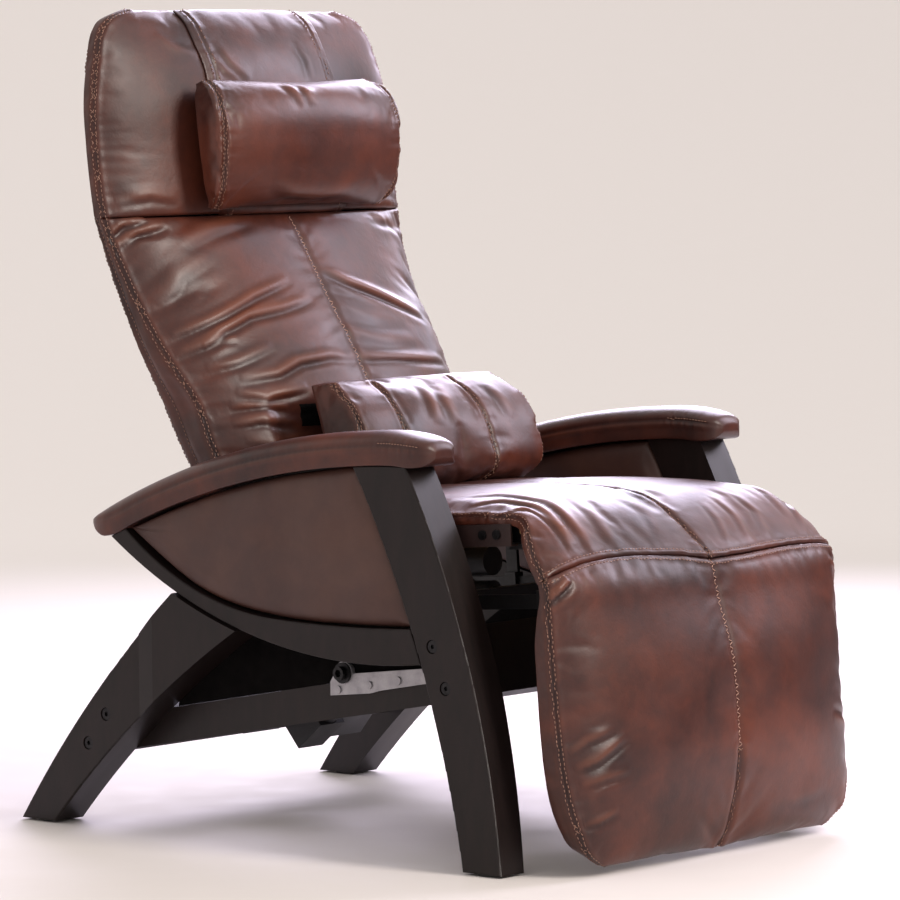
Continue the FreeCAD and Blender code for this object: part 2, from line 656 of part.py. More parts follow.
def arc_rail():
    return rounded(arc_rail_blank(LEG_INNER_X, LEG_FACE_X), ARC_EDGE_RADIUS, LEG_FACE_X).cut(dowels())


def arm_core():
    top_radius = ARM_UNDER_RADIUS + ARM_CORE
    ys = (ARM_CORE_FRONT_Y, (ARM_CORE_FRONT_Y + ARM_CORE_BACK_Y) / 2, ARM_CORE_BACK_Y)
    low = [(y, circle_top(ARM_UNDER_CENTRE, ARM_UNDER_RADIUS, y)) for y in ys]
    top = [(y, circle_top(ARM_UNDER_CENTRE, top_radius, y)) for y in ys]
    points = [low[0], low[2] + low[1], top[2], top[0] + top[1]]
    return prism(points, ARM_MIDDLE_X - ARM_CORE_HALF_WIDTH, ARM_MIDDLE_X + ARM_CORE_HALF_WIDTH)


def arm_pad():
    stations = []
    for y, low, top, half_width, band in ARM_NOSE:
        stations.append(((y, low), (y, top), half_width, band))
    for y in ARM_BODY_YS:
        low = circle_top(ARM_UNDER_CENTRE, ARM_UNDER_RADIUS, y) - PAD_BITE
        top = circle_top(ARM_TOP_CENTRE, ARM_TOP_RADIUS, y)
        stations.append(((y, low), (y, top), ARM_HALF_WIDTH, ARM_BAND + PAD_BITE))
    for y, low, top, half_width, band in ARM_TAIL:
        stations.append(((y, low), (y, top), half_width, band))
    pad = crowned_pad(stations, FIRM_CROWN, ARM_MIDDLE_X)
    below = under_arm(ARM_MIDDLE_X - 2 * ARM_HALF_WIDTH, ARM_MIDDLE_X + 2 * ARM_HALF_WIDTH)
    return pad.cut([below, arm_core()])


def leaf_pad(x_low, x_high, crown_x):
    """A puffed leaf, its crown towards the crown_x face."""
    length = ARC_REAR[0] - ARC_FRONT[0]
    centre_x = crown_x - PANEL_CROWN_RADIUS if crown_x == x_high else crown_x + PANEL_CROWN_RADIUS
    centre = V(centre_x, ARC_FRONT[0], PANEL_CROWN_Z)
    crown = Part.makeCylinder(PANEL_CROWN_RADIUS, length, centre, V(0, 1, 0))
    return leaf_blank(x_low, x_high).common(crown)


def front_rail_box(x_low, x_high):
    overrun = (FRONT_RAIL_HEIGHT - math.dist(FRONT_BOLT_LOW, FRONT_BOLT_TOP)) / 2
    return bar_between(FRONT_BOLT_LOW, FRONT_BOLT_TOP, CROSS_RAIL / 2, x_low, x_high, overrun)


def rear_rail_box(x_low, x_high):
    overrun = (REAR_RAIL_HEIGHT - math.dist(REAR_BOLT_LOW, REAR_BOLT_TOP)) / 2
    return bar_between(REAR_BOLT_TOP, REAR_BOLT_LOW, CROSS_RAIL / 2, x_low, x_high, overrun)


def barrel_nut(point, other):
    """A nut across the rail, at one bolt, with the rail's height towards the other bolt."""
    return rod_between(along(point, other, 0, -NUT_LENGTH / 2), along(point, other, 0, NUT_LENGTH / 2),
                       NUT_RADIUS, LEG_INNER_X - BOLT_GRIP + NUT_BACK)


def cross_rail(box, low, top):
    cuts = []
    for point, other in ((low, top), (top, low)):
        hole = rod(point, BOLT_RADIUS + PIN_CLEARANCE, LEG_INNER_X - BOLT_GRIP, LEG_INNER_X)
        nut = barrel_nut(point, other)
        cuts += [hole, nut, mirrored(hole), mirrored(nut)]
    return box.cut(cuts)


def leg_bolts():
    bolts = []
    for point in (FRONT_BOLT_TOP, FRONT_BOLT_LOW, REAR_BOLT_TOP, REAR_BOLT_LOW):
        seat_x = LEG_FACE_X - BOLT_SINK
        shank = rod(point, BOLT_RADIUS, LEG_INNER_X - BOLT_GRIP, seat_x)
        head = rod(point, BOLT_HEAD_RADIUS, seat_x, seat_x + BOLT_HEAD)
        socket = hexagon(point, SOCKET_WIDTH, seat_x + BOLT_HEAD - SOCKET_DEPTH, seat_x + BOLT_HEAD)
        bolts.append(fused([shank, head]).cut(socket))
    return pair(bolts)


def barrel_nuts():
    nuts = []
    for point, other in ((FRONT_BOLT_TOP, FRONT_BOLT_LOW), (FRONT_BOLT_LOW, FRONT_BOLT_TOP),
                         (REAR_BOLT_TOP, REAR_BOLT_LOW), (REAR_BOLT_LOW, REAR_BOLT_TOP)):
        bore = rod(point, BOLT_RADIUS + PIN_CLEARANCE, LEG_INNER_X - BOLT_GRIP, LEG_INNER_X)
        nuts.append(barrel_nut(point, other).cut(bore))
    return pair(nuts)


def foot_glides():
    front_y = (FRONT_FOOT_FRONT_Y + FRONT_FOOT_BACK_Y) / 2
    rear_y = (REAR_FOOT_FRONT_Y + REAR_FOOT_BACK_Y) / 2
    front_x = (LEG_INNER_X + FOOT_TAPER + LEG_FACE_X) / 2
    rear_x = (LEG_INNER_X + LEG_FACE_X) / 2
    discs = []
    for x, y in ((front_x, front_y), (rear_x, rear_y)):
        discs.append(Part.makeCylinder(GLIDE_RADIUS, GLIDE_HEIGHT, V(x, y, 0)))
    return pair(discs)


def side_rail_line(drop):
    """Two points of a line along the side rail, that far under its top."""
    y, z = SIDE_RAIL_TOP
    return (y, z - drop), (y + 100, z - drop - 100 * SIDE_RAIL_FALL)


def side_rail():
    front_face = (along(FRONT_BOLT_LOW, FRONT_BOLT_TOP, 0, -CROSS_RAIL / 2),
                  along(FRONT_BOLT_LOW, FRONT_BOLT_TOP, 10, -CROSS_RAIL / 2))
    rear_face = (along(REAR_BOLT_TOP, REAR_BOLT_LOW, 0, -CROSS_RAIL / 2),
                 along(REAR_BOLT_TOP, REAR_BOLT_LOW, 10, -CROSS_RAIL / 2))
    top = side_rail_line(0)
    low = side_rail_line(SIDE_RAIL_HEIGHT)
    corners = [meet(*top, *front_face), meet(*top, *rear_face),
               meet(*low, *rear_face), meet(*low, *front_face)]
    return prism(corners, SIDE_RAIL_INNER_X, LEG_INNER_X).cut(plate_screw_list())


# Seat pivot

def plate_screw_points():
    """Screws under the side rail's top edge, along the pivot plate."""
    points = []
    for share in (0.07, 0.34, 0.62, 0.92):
        y = PLATE_FRONT_Y + share * (PLATE_BACK_Y - PLATE_FRONT_Y)
        points.append((y, SIDE_RAIL_TOP[1] - SIDE_RAIL_FALL * (y - SIDE_RAIL_TOP[0]) - PLATE_ARM / 2))
    return points


def plate_screw_list():
    face_x = LEG_INNER_X + PIVOT_PLATE
    screws = []
    for point in plate_screw_points():
        shank = rod(point, SCREW_RADIUS, face_x - SCREW_LENGTH, face_x)
        head = rod(point, SCREW_HEAD_RADIUS, face_x, face_x + SCREW_HEAD)
        screws.append(fused([shank, head]))
    return screws


def pivot_plate():
    def rail_top(y, drop=0.0):
        return (y, SIDE_RAIL_TOP[1] - SIDE_RAIL_FALL * (y - SIDE_RAIL_TOP[0]) - drop)

    ear_front = (PIVOT[0] - PIVOT_EAR_RADIUS, PIVOT[1])
    ear_back = (PIVOT[0] + PIVOT_EAR_RADIUS, PIVOT[1])
    lip_y = PIVOT[0] - 3 * PIVOT_EAR_RADIUS
    points = [rail_top(PLATE_FRONT_Y), ear_front, ear_back, rail_top(PLATE_BACK_Y, -SCREW_HEAD),
              (PLATE_BACK_Y, PLATE_LIP_Z - PLATE_LIP), (lip_y, PLATE_LIP_Z),
              rail_top(lip_y - PLATE_ARM, PLATE_ARM), rail_top(PLATE_FRONT_Y, PLATE_ARM)]
    plate = prism(points, LEG_INNER_X, LEG_INNER_X + PIVOT_PLATE)
    ear = rod(PIVOT, PIVOT_EAR_RADIUS, LEG_INNER_X, LEG_INNER_X + PIVOT_PLATE)
    hole = rod(PIVOT, PIVOT_BOLT_RADIUS + PIN_CLEARANCE, LEG_INNER_X, LEG_INNER_X + PIVOT_PLATE)
    return fused([plate, ear]).cut([hole] + plate_screw_list())


def pivot_bolt_set():
    """Bolt, nut and spacer of the left pivot."""
    face_x = LEG_INNER_X + PIVOT_PLATE
    nut_x = SEAT_ARM_INNER_X - CONTACT_GAP
    shank = rod(PIVOT, PIVOT_BOLT_RADIUS, nut_x - PIVOT_NUT - 2 * SIDE_GAP, face_x)
    flange = rod(PIVOT, PIVOT_FLANGE_RADIUS, face_x, face_x + PIVOT_FLANGE)
    head_x = (face_x + PIVOT_FLANGE, face_x + PIVOT_FLANGE + PIVOT_HEAD)
    head = rod(PIVOT, PIVOT_HEAD_RADIUS, *head_x)
    socket = hexagon(PIVOT, PIVOT_SOCKET_WIDTH, head_x[0] + 2 * SIDE_GAP, head_x[1])
    bolt = fused([shank, flange, head]).cut(socket)
    bore = rod(PIVOT, PIVOT_BOLT_RADIUS + PIN_CLEARANCE, nut_x - PIVOT_NUT, face_x)
    nut = hexagon(PIVOT, 2 * PIVOT_NUT_RADIUS, nut_x - PIVOT_NUT, nut_x).cut(bore)
    spacer = rod(PIVOT, PIVOT_SPACER_RADIUS, SEAT_ARM_OUTER_X + CONTACT_GAP, LEG_INNER_X).cut(bore)
    return [bolt, nut, spacer]


# Seat frame

def seat_rail():
    """A square steel tube, open at its ends."""
    outer = seat_block((SEAT_RAIL_FRONT, SEAT_RAIL_BACK), (SEAT_RAIL_BOTTOM, SEAT_RAIL_TOP),
                       (SEAT_RAIL_INNER_X, SEAT_RAIL_OUTER_X))
    bore = seat_block((SEAT_RAIL_FRONT, SEAT_RAIL_BACK),
                      (SEAT_RAIL_BOTTOM + TUBE_WALL, SEAT_RAIL_TOP - TUBE_WALL),
                      (SEAT_RAIL_INNER_X + TUBE_WALL, SEAT_RAIL_OUTER_X - TUBE_WALL))
    return outer.cut([bore] + frame_bolt_list())


def frame_bolt_list():
    """Bolts through the leather and the outer wall of the left seat rail."""
    up = (SEAT_RAIL_BOTTOM + SEAT_RAIL_TOP) / 2
    face_x = SEAT_RAIL_OUTER_X + WRAP
    bolts = []
    for back in FRAME_BOLTS:
        shank = rod(seat(back, up), FRAME_BOLT_RADIUS, SEAT_RAIL_OUTER_X - 3 * TUBE_WALL, face_x)
        head = rod(seat(back, up), FRAME_BOLT_HEAD_RADIUS, face_x, face_x + FRAME_BOLT_HEAD)
        bolts.append(fused([shank, head]))
    return bolts


def rail_wrap():
    """Leather on the outer face and round the lower edge of the left seat rail."""
    face = seat_block((SEAT_RAIL_FRONT, SEAT_RAIL_BACK), (SEAT_RAIL_BOTTOM - WRAP, SEAT_RAIL_TOP),
                      (SEAT_RAIL_OUTER_X, SEAT_RAIL_OUTER_X + WRAP))
    lip = seat_block((SEAT_RAIL_FRONT, SEAT_RAIL_BACK), (SEAT_RAIL_BOTTOM - WRAP, SEAT_RAIL_BOTTOM),
                     (SEAT_ARM_OUTER_X + WRAP, SEAT_RAIL_OUTER_X))
    return fused([face, lip]).cut(frame_bolt_list())


def seat_arm():
    arm_x = (SEAT_ARM_INNER_X, SEAT_ARM_OUTER_X)
    front = seat(SEAT_ARM_FRONT, SEAT_RAIL_BOTTOM)
    back = seat(SEAT_ARM_BACK, SEAT_RAIL_BOTTOM)
    points = [front, back, (PIVOT[0] + SEAT_ARM_BOSS, PIVOT[1]), (PIVOT[0] - SEAT_ARM_BOSS, PIVOT[1])]
    plate = prism(points, *arm_x)
    boss = rod(PIVOT, SEAT_ARM_BOSS, *arm_x)
    window = rod(middle(middle(front, back), PIVOT), SEAT_ARM_BOSS, *arm_x)
    hole = rod(PIVOT, PIVOT_BOLT_RADIUS + PIN_CLEARANCE + BUSH_WALL, *arm_x)
    return fused([plate, boss]).cut([window, hole])


def pivot_bush():
    arm_x = (SEAT_ARM_INNER_X, SEAT_ARM_OUTER_X)
    bush = rod(PIVOT, PIVOT_BOLT_RADIUS + PIN_CLEARANCE + BUSH_WALL, *arm_x)
    return bush.cut(rod(PIVOT, PIVOT_BOLT_RADIUS + PIN_CLEARANCE, *arm_x))


def cross_members():
    members = []
    for front in (FRONT_MEMBER, REAR_MEMBER):
        members.append(seat_block((front, front + MEMBER), (MEMBER_BOTTOM, BOARD_BOTTOM),
                                  (-SEAT_RAIL_INNER_X, SEAT_RAIL_INNER_X)))
    return Part.Compound(members)


def knee_ear():
    """Left ear of the knee hinge, under the front cross member."""
    back = FRONT_MEMBER + MEMBER
    points = [(0, KNEE_KNUCKLE), (FRONT_MEMBER, BOARD_BOTTOM - SIDE_GAP), (FRONT_MEMBER, MEMBER_BOTTOM),
              (back, MEMBER_BOTTOM), (back, MEMBER_BOTTOM - LEVER), (FRONT_MEMBER, MEMBER_BOTTOM - 2 * LEVER),
              (0, -KNEE_KNUCKLE)]
    plate = seat_prism(points, EAR_X, EAR_OUTER_X)
    hole = rod(KNEE, KNEE_PIN_RADIUS + PIN_CLEARANCE, EAR_X, EAR_OUTER_X)
    return fused([plate, rod(KNEE, KNEE_KNUCKLE, EAR_X, EAR_OUTER_X)]).cut(hole)


def back_ear():
    """Left ear of the back hinge, behind the rear cross member."""
    hinge = BACK_HINGE
    back = REAR_MEMBER + MEMBER
    points = [(back, BOARD_BOTTOM), (SEAT_BOARD_BACK, BOARD_BOTTOM),
              (hinge[0] - LEVER, hinge[1] + BACK_KNUCKLE - SIDE_GAP),
              (hinge[0] + LEVER, hinge[1] - BACK_KNUCKLE + SIDE_GAP), (back, MEMBER_BOTTOM - 2 * LEVER),
              (REAR_MEMBER, MEMBER_BOTTOM - LEVER), (REAR_MEMBER, MEMBER_BOTTOM), (back, MEMBER_BOTTOM)]
    plate = seat_prism(points, EAR_X, EAR_OUTER_X)
    centre = seat(*hinge)
    hole = rod(centre, BACK_PIN_RADIUS + PIN_CLEARANCE, EAR_X, EAR_OUTER_X)
    return fused([plate, rod(centre, BACK_KNUCKLE, EAR_X, EAR_OUTER_X)]).cut(hole)


def tilt_lug():
    """Left plate of the fork that the tilt rod pulls, under the rear cross member."""
    x_low = EYE_HALF + SIDE_GAP
    back = REAR_MEMBER + MEMBER
    lug_back, lug_up = TILT_LUG
    points = [(back - MEMBER / 2, MEMBER_BOTTOM), (back, MEMBER_BOTTOM), (lug_back + LUG_RADIUS, lug_up),
              (lug_back - LUG_RADIUS, lug_up)]
    plate = seat_prism(points, x_low, x_low + LUG)
    centre = seat(*TILT_LUG)
    hole = rod(centre, LUG_PIN_RADIUS + PIN_CLEARANCE, x_low, x_low + LUG)
    return fused([plate, rod(centre, LUG_RADIUS, x_low, x_low + LUG)]).cut(hole)


def headed_pin(point, radius, x_low, x_high):
    """A pin between two heads that stand outside x_low and x_high."""
    return fused([rod(point, radius, x_low - PIN_HEAD, x_high + PIN_HEAD),
                  rod(point, radius + PIN_HEAD_RIM, x_low - PIN_HEAD, x_low),
                  rod(point, radius + PIN_HEAD_RIM, x_high, x_high + PIN_HEAD)])


def seat_pins():
    knee = headed_pin(KNEE, KNEE_PIN_RADIUS, LEVER_X - CONTACT_GAP, EAR_OUTER_X)
    back = headed_pin(seat(*BACK_HINGE), BACK_PIN_RADIUS, LEVER_X - CONTACT_GAP, EAR_OUTER_X)
    fork = EYE_HALF + SIDE_GAP + LUG
    lug = headed_pin(seat(*TILT_LUG), LUG_PIN_RADIUS, -fork, fork)
    return Part.Compound([knee, mirrored(knee), back, mirrored(back), lug])


def bar_guides():
    """Nylon guides round the bars, on hangers under both cross members."""
    guides = []
    top = -BAR_DROP + BAR_HEIGHT / 2 + GUIDE_WALL
    for front in (FRONT_MEMBER, REAR_MEMBER):
        back = (front + MEMBER / 2 - GUIDE_LENGTH / 2, front + MEMBER / 2 + GUIDE_LENGTH / 2)
        block = seat_block(back, (-BAR_DROP - BAR_HEIGHT / 2 - GUIDE_WALL, top),
                           (BAR_INNER_X - GUIDE_WALL, BAR_OUTER_X + GUIDE_WALL))
        half = BAR_HEIGHT / 2 + SLIDE_CLEARANCE
        bore = seat_block(back, (-BAR_DROP - half, -BAR_DROP + half),
                          (BAR_INNER_X - SLIDE_CLEARANCE, BAR_OUTER_X + SLIDE_CLEARANCE))
        guides.append(block.cut(bore))
        guides.append(seat_block(back, (top, MEMBER_BOTTOM), (BAR_INNER_X, BAR_OUTER_X)))
    return pair(guides)


def seat_board():
    return seat_block((FRONT_MEMBER - 2 * SIDE_GAP, SEAT_BOARD_BACK), (BOARD_BOTTOM, SEAT_RAIL_TOP),
                      (-SEAT_RAIL_INNER_X, SEAT_RAIL_INNER_X))


def knee_pockets():
    """Room for ear, lever and pin ends inside the seat's front edge."""
    x_low = LEVER_X - CONTACT_GAP - PIN_HEAD - POCKET_GAP
    x_high = EAR_OUTER_X + PIN_HEAD + POCKET_GAP
    reach = KNEE_KNUCKLE + POCKET_GAP
    points = [(0, reach), (FRONT_MEMBER, BOARD_BOTTOM + POCKET_GAP), (FRONT_MEMBER, 0), (0, -reach)]
    slot = seat_prism(points, x_low, x_high).fuse(rod(KNEE, reach + POCKET_GAP, x_low, x_high))
    return [slot, mirrored(slot)]


def lip_blank():
    """The board that carries the front edge of the seat, down to the knee hinge."""
    back = [along(LIP_FRONT[i], LIP_FRONT[i + 1], 0, SEAT_BOARD) for i in range(3)]
    end = along(LIP_FRONT[2], LIP_FRONT[3], math.dist(LIP_FRONT[2], LIP_FRONT[3]), SEAT_BOARD)
    board_front = FRONT_MEMBER - 2 * SIDE_GAP
    points = [(board_front, SEAT_RAIL_TOP)] + list(LIP_FRONT)
    points += [end, back[2], back[1], (board_front, BOARD_BOTTOM - SIDE_GAP)]
    return seat_prism(points, -LIP_HALF_WIDTH, LIP_HALF_WIDTH)


def knee_relief():
    """The open side of the knee seam: a wedge from the hinge line outwards."""
    inner, outer = seat_points([SEAT_PAD_LIP[-1][0], SEAT_PAD_LIP[-1][1]])
    edge = along(inner, outer, 4 * math.dist(inner, outer))
    edge = (edge[0] - inner[0] + KNEE[0], edge[1] - inner[1] + KNEE[1])
    half_angle = LEGREST_TURN / 2 + SIDE_GAP
    corners = [KNEE, turned(edge, KNEE, half_angle), turned(edge, KNEE, -half_angle)]
    wedge = prism(corners, -LEG_FACE_X, LEG_FACE_X)
    return wedge.fuse(rod(KNEE, KNEE_PIN_RADIUS + 2 * SIDE_GAP, -LEG_FACE_X, LEG_FACE_X))


def seat_massage_motors(extra=0.0):
    start = seat(SEAT_MASSAGE_AT, SEAT_RAIL_TOP)
    toward = seat(SEAT_MASSAGE_AT, SEAT_RAIL_TOP + 1)
    return [motor_disc(start, toward, x, extra) for x in (SEAT_MASSAGE_X, -SEAT_MASSAGE_X)]


def seat_cushion():
    stations = []
    for inner_back, outer_back, rise, half_width, rim in SEAT_PAD_ON_BOARD:
        stations.append((seat(inner_back, SEAT_RAIL_TOP - PAD_BITE), seat(outer_back, SEAT_RAIL_TOP + rise),
                         half_width, rim))
    for inner, outer, half_width, rim in SEAT_PAD_LIP:
        stations.append((seat(*inner), seat(*outer), half_width, rim))
    pad = crowned_pad(stations)
    below = seat_block((FRONT_MEMBER - 2 * SIDE_GAP, BACK_HINGE[0] + MEMBER), (0, SEAT_RAIL_TOP),
                       (-LEG_FACE_X, LEG_FACE_X))
    pad = pad.cut([below, lip_blank()] + knee_pockets() + [knee_relief()])
    return pad.cut(seat_massage_motors(CONTACT_GAP))


# Linkage bars

def sync_pin_points():
    back, up = BACK_HINGE
    return (seat(BAR_PIN, -BAR_DROP), seat(back + BAR_PIN, -BAR_DROP))


def sync_bars():
    up = (-BAR_DROP - BAR_HEIGHT / 2, -BAR_DROP + BAR_HEIGHT / 2)
    ends = (BAR_PIN - BAR_END, BACK_HINGE[0] + BAR_PIN + BAR_END)
    bar = seat_block(ends, up, (BAR_INNER_X, BAR_OUTER_X))
    bar = bar.cut([rod(point, LINK_PIN_RADIUS, BAR_INNER_X, BAR_OUTER_X) for point in sync_pin_points()])
    cross = seat_block((CROSS_BAR_AT, CROSS_BAR_AT + CROSS_BAR), up, (-BAR_INNER_X, BAR_INNER_X))
    return Part.Compound([bar, mirrored(bar), cross])


def sync_pins():
    pins = []
    for point in sync_pin_points():
        head_x = BAR_INNER_X - LINK_PIN_HEAD
        pins.append(fused([rod(point, LINK_PIN_RADIUS, head_x, LEVER_OUTER_X),
                           rod(point, LINK_PIN_RADIUS + LINK_PIN_HEAD_RIM, head_x, BAR_INNER_X)]))
    return pair(pins)


# Recline actuator, on the seat frame

def recline_actuator():
    motor_up = -BAR_DROP + MOTOR_OFFSET
    gear_top = motor_up + MOTOR_RADIUS + 2 * SIDE_GAP
    gear = seat_block((RECLINE_GEAR_FRONT, RECLINE_GEAR_BACK), (-BAR_DROP - GEAR_HALF_WIDTH, gear_top),
                      (-GEAR_HALF_WIDTH, GEAR_HALF_WIDTH))
    foot = seat_block((REAR_MEMBER, RECLINE_GEAR_BACK), (gear_top, MEMBER_BOTTOM),
                      (-GEAR_HALF_WIDTH, GEAR_HALF_WIDTH))
    motor = rod_between(seat(RECLINE_GEAR_FRONT - MOTOR_LENGTH, motor_up),
                        seat(RECLINE_GEAR_FRONT, motor_up), MOTOR_RADIUS)
    start = seat(RECLINE_TUBE_FRONT, -BAR_DROP)
    end = seat(RECLINE_GEAR_FRONT, -BAR_DROP)
    tube = rod_between(start, end, TUBE_RADIUS).cut(rod_between(start, end, ROD_RADIUS + SLIDE_CLEARANCE))
    return Part.Compound([fused([gear, foot]), motor, tube])


def recline_rod():
    start = CROSS_BAR_AT + CROSS_BAR
    return rod_between(seat(start, -BAR_DROP), seat(start + ROD_LENGTH, -BAR_DROP), ROD_RADIUS)


# Tilt actuator, between the rear cross rail and the seat frame

def tilt_bracket():
    """A foot on the rear cross rail with two plates, and the pin between them."""
    centre = middle(REAR_BOLT_TOP, REAR_BOLT_LOW)
    face = -CROSS_RAIL / 2
    low = along(centre, REAR_BOLT_LOW, -BRACKET_HALF_HEIGHT, face)
    high = along(centre, REAR_BOLT_LOW, BRACKET_HALF_HEIGHT, face)
    fork = GEAR_HALF_WIDTH + SIDE_GAP
    foot = bar_between(along(low, high, 0, -LUG / 2), along(low, high, 2 * BRACKET_HALF_HEIGHT, -LUG / 2),
                       LUG / 2, -fork - 2 * LUG, fork + 2 * LUG)
    plates = []
    for x_low in (fork, -fork - LUG):
        corners = [along(low, high, 0, -LUG), along(low, high, BRACKET_HALF_HEIGHT * 1.4, -LUG),
                   along(TILT_BASE, high, EYE_RADIUS), along(TILT_BASE, high, 0, -EYE_RADIUS)]
        plates.append(prism(corners, x_low, x_low + LUG))
        plates.append(rod(TILT_BASE, EYE_RADIUS, x_low, x_low + LUG))
    hole = rod(TILT_BASE, LUG_PIN_RADIUS + PIN_CLEARANCE, -fork - LUG, fork + LUG)
    bracket = fused([foot] + plates).cut(hole)
    return Part.Compound([bracket, headed_pin(TILT_BASE, LUG_PIN_RADIUS, -fork - LUG, fork + LUG)])


def tilt_actuator():
    """Gearbox, motor and tube, on the base pin and turned towards the seat's lug."""
    aim = seat(*TILT_LUG)
    gear_back = MOTOR_OFFSET + MOTOR_RADIUS + 2 * SIDE_GAP
    corners = [along(TILT_BASE, aim, TILT_GEAR_START, -TUBE_RADIUS),
               along(TILT_BASE, aim, TILT_GEAR_END, -TUBE_RADIUS),
               along(TILT_BASE, aim, TILT_GEAR_END, gear_back),
               along(TILT_BASE, aim, TILT_GEAR_START, gear_back)]
    gear = prism(corners, -GEAR_HALF_WIDTH, GEAR_HALF_WIDTH)
    gear = gear.cut(rod(TILT_BASE, LUG_PIN_RADIUS + PIN_CLEARANCE, -GEAR_HALF_WIDTH, GEAR_HALF_WIDTH))
    motor = rod_between(along(TILT_BASE, aim, TILT_GEAR_END, MOTOR_OFFSET),
                        along(TILT_BASE, aim, TILT_GEAR_END + MOTOR_LENGTH, MOTOR_OFFSET), MOTOR_RADIUS)
    start = along(TILT_BASE, aim, TILT_GEAR_END)
    end = along(TILT_BASE, aim, TILT_TUBE_END)
    tube = rod_between(start, end, TUBE_RADIUS).cut(rod_between(start, end, ROD_RADIUS + SLIDE_CLEARANCE))
    return Part.Compound([gear, motor, tube])


def tilt_rod():
    aim = seat(*TILT_LUG)
    reach = math.dist(TILT_BASE, aim)
    neck = reach - LUG_RADIUS - ROD_RADIUS
    shaft = rod_between(along(TILT_BASE, aim, TILT_ROD_START), along(TILT_BASE, aim, neck), ROD_RADIUS)
    stem = rod_between(along(TILT_BASE, aim, neck), along(TILT_BASE, aim, reach - LUG_PIN_RADIUS),
                       EYE_HALF - SIDE_GAP)
    eye = rod(aim, EYE_RADIUS, -EYE_HALF, EYE_HALF)
    hole = rod(aim, LUG_PIN_RADIUS + ROD_EYE_CLEARANCE, -EYE_HALF, EYE_HALF)
    return fused([shaft, stem, eye]).cut(hole)


def control_box():
    """The box on the rear cross rail, with the power inlet in its end."""
    centre = middle(REAR_BOLT_TOP, REAR_BOLT_LOW)
    box_middle = -CROSS_RAIL / 2 - CONTROL_BOX_DEPTH / 2
    start = along(centre, REAR_BOLT_LOW, -CONTROL_BOX_HALF_HEIGHT, box_middle)
    end = along(centre, REAR_BOLT_LOW, CONTROL_BOX_HALF_HEIGHT, box_middle)
    box = bar_between(start, end, CONTROL_BOX_DEPTH / 2, *CONTROL_BOX_X)
    inlet_start = along(centre, REAR_BOLT_LOW, -INLET_WIDTH / 2, box_middle)
    inlet_end = along(centre, REAR_BOLT_LOW, INLET_WIDTH / 2, box_middle)
    inlet_x = (CONTROL_BOX_X[1], CONTROL_BOX_X[1] + INLET_DEPTH)
    rim = bar_between(inlet_start, inlet_end, INLET_HEIGHT / 2, *inlet_x)
    mouth = bar_between(inlet_start, inlet_end, INLET_HEIGHT / 2 - INLET_WALL, inlet_x[0] + SIDE_GAP,
                        inlet_x[1], -INLET_WALL)
    return Part.Compound([box, rim.cut(mouth)])


# Back

def back_front(z, behind=0.0):
    """The point on the back board's front at that height, or that far behind it."""
    line = [(y, height) for y, height, half_width in BACK_LINE]
    point = on_line(line, z)
    beyond = on_line(line, z + 1)
    return along(point, beyond, 0, -behind)


def back_board():
    return board(BACK_LINE, BACK_BOARD)


def back_lever():
    """Left lever: hinge eye, slot for the bar's pin below, foot behind the board."""
    x = (LEVER_X, LEVER_OUTER_X)
    hinge = seat(*BACK_HINGE)
    pin = sync_pin_points()[1]
    reach = math.dist(hinge, pin)
    nearest = BACK_HINGE[1] + BAR_DROP
    slot = capsule(along(hinge, pin, nearest - SIDE_GAP), along(hinge, pin, reach + SIDE_GAP),
                   LINK_PIN_RADIUS + LOOP_CLEARANCE, *x)
    lobe = capsule(along(hinge, pin, nearest), pin, LINK_PIN_RADIUS + LOOP_CLEARANCE + SLOT_WALL, *x)
    stem = bar_between(hinge, pin, BACK_KNUCKLE * 0.7, *x)
    foot_low = back_front(BACK_LINE[0][1], BACK_BOARD + BACK_KNUCKLE * 0.7)
    foot_high = back_front(BACK_LEVER_FOOT[1], BACK_BOARD + BACK_KNUCKLE * 0.7)
    arm = bar_between(hinge, foot_low, BACK_KNUCKLE * 0.75, *x)
    knee = rod(foot_low, BACK_KNUCKLE * 0.75, *x)
    foot = bar_between(foot_low, foot_high, BACK_KNUCKLE * 0.7, *x)
    lever = fused([rod(hinge, BACK_KNUCKLE, *x), lobe, stem, arm, knee, foot])
    return lever.cut([slot, rod(hinge, BACK_PIN_RADIUS + PIN_CLEARANCE, *x), back_board()])


def back_massage_motors(extra=0.0):
    low, high = back_front(BACK_LINE[0][1]), back_front(BACK_LINE[1][1])
    motors = []
    for distance in BACK_MASSAGE_AT:
        point = along(low, high, distance)
        toward = along(low, high, distance, 1)
        motors.append(motor_disc(point, toward, BACK_MASSAGE_X, extra))
        motors.append(motor_disc(point, toward, -BACK_MASSAGE_X, extra))
    return motors


def heating_pad(extra=0.0):
    low, high = back_front(BACK_LINE[0][1]), back_front(BACK_LINE[1][1])
    half = (HEATER + extra) / 2
    start = along(low, high, HEATER_AT[0] - extra, half)
    end = along(low, high, HEATER_AT[1] + extra, half)
    return bar_between(start, end, half, -HEATER_HALF_WIDTH - extra, HEATER_HALF_WIDTH + extra)


def back_pad(rows):
    stations = []
    for z, outer, half_width, rim in rows:
        stations.append((back_front(z, PAD_BITE), outer, half_width, rim))
    return crowned_pad(stations, FLAT_CROWN).cut(back_board())


def back_cushion():
    return back_pad(BACK_PAD).cut(back_massage_motors(CONTACT_GAP) + [heating_pad(CONTACT_GAP)])


def head_cushion():
    return back_pad(HEAD_PAD)


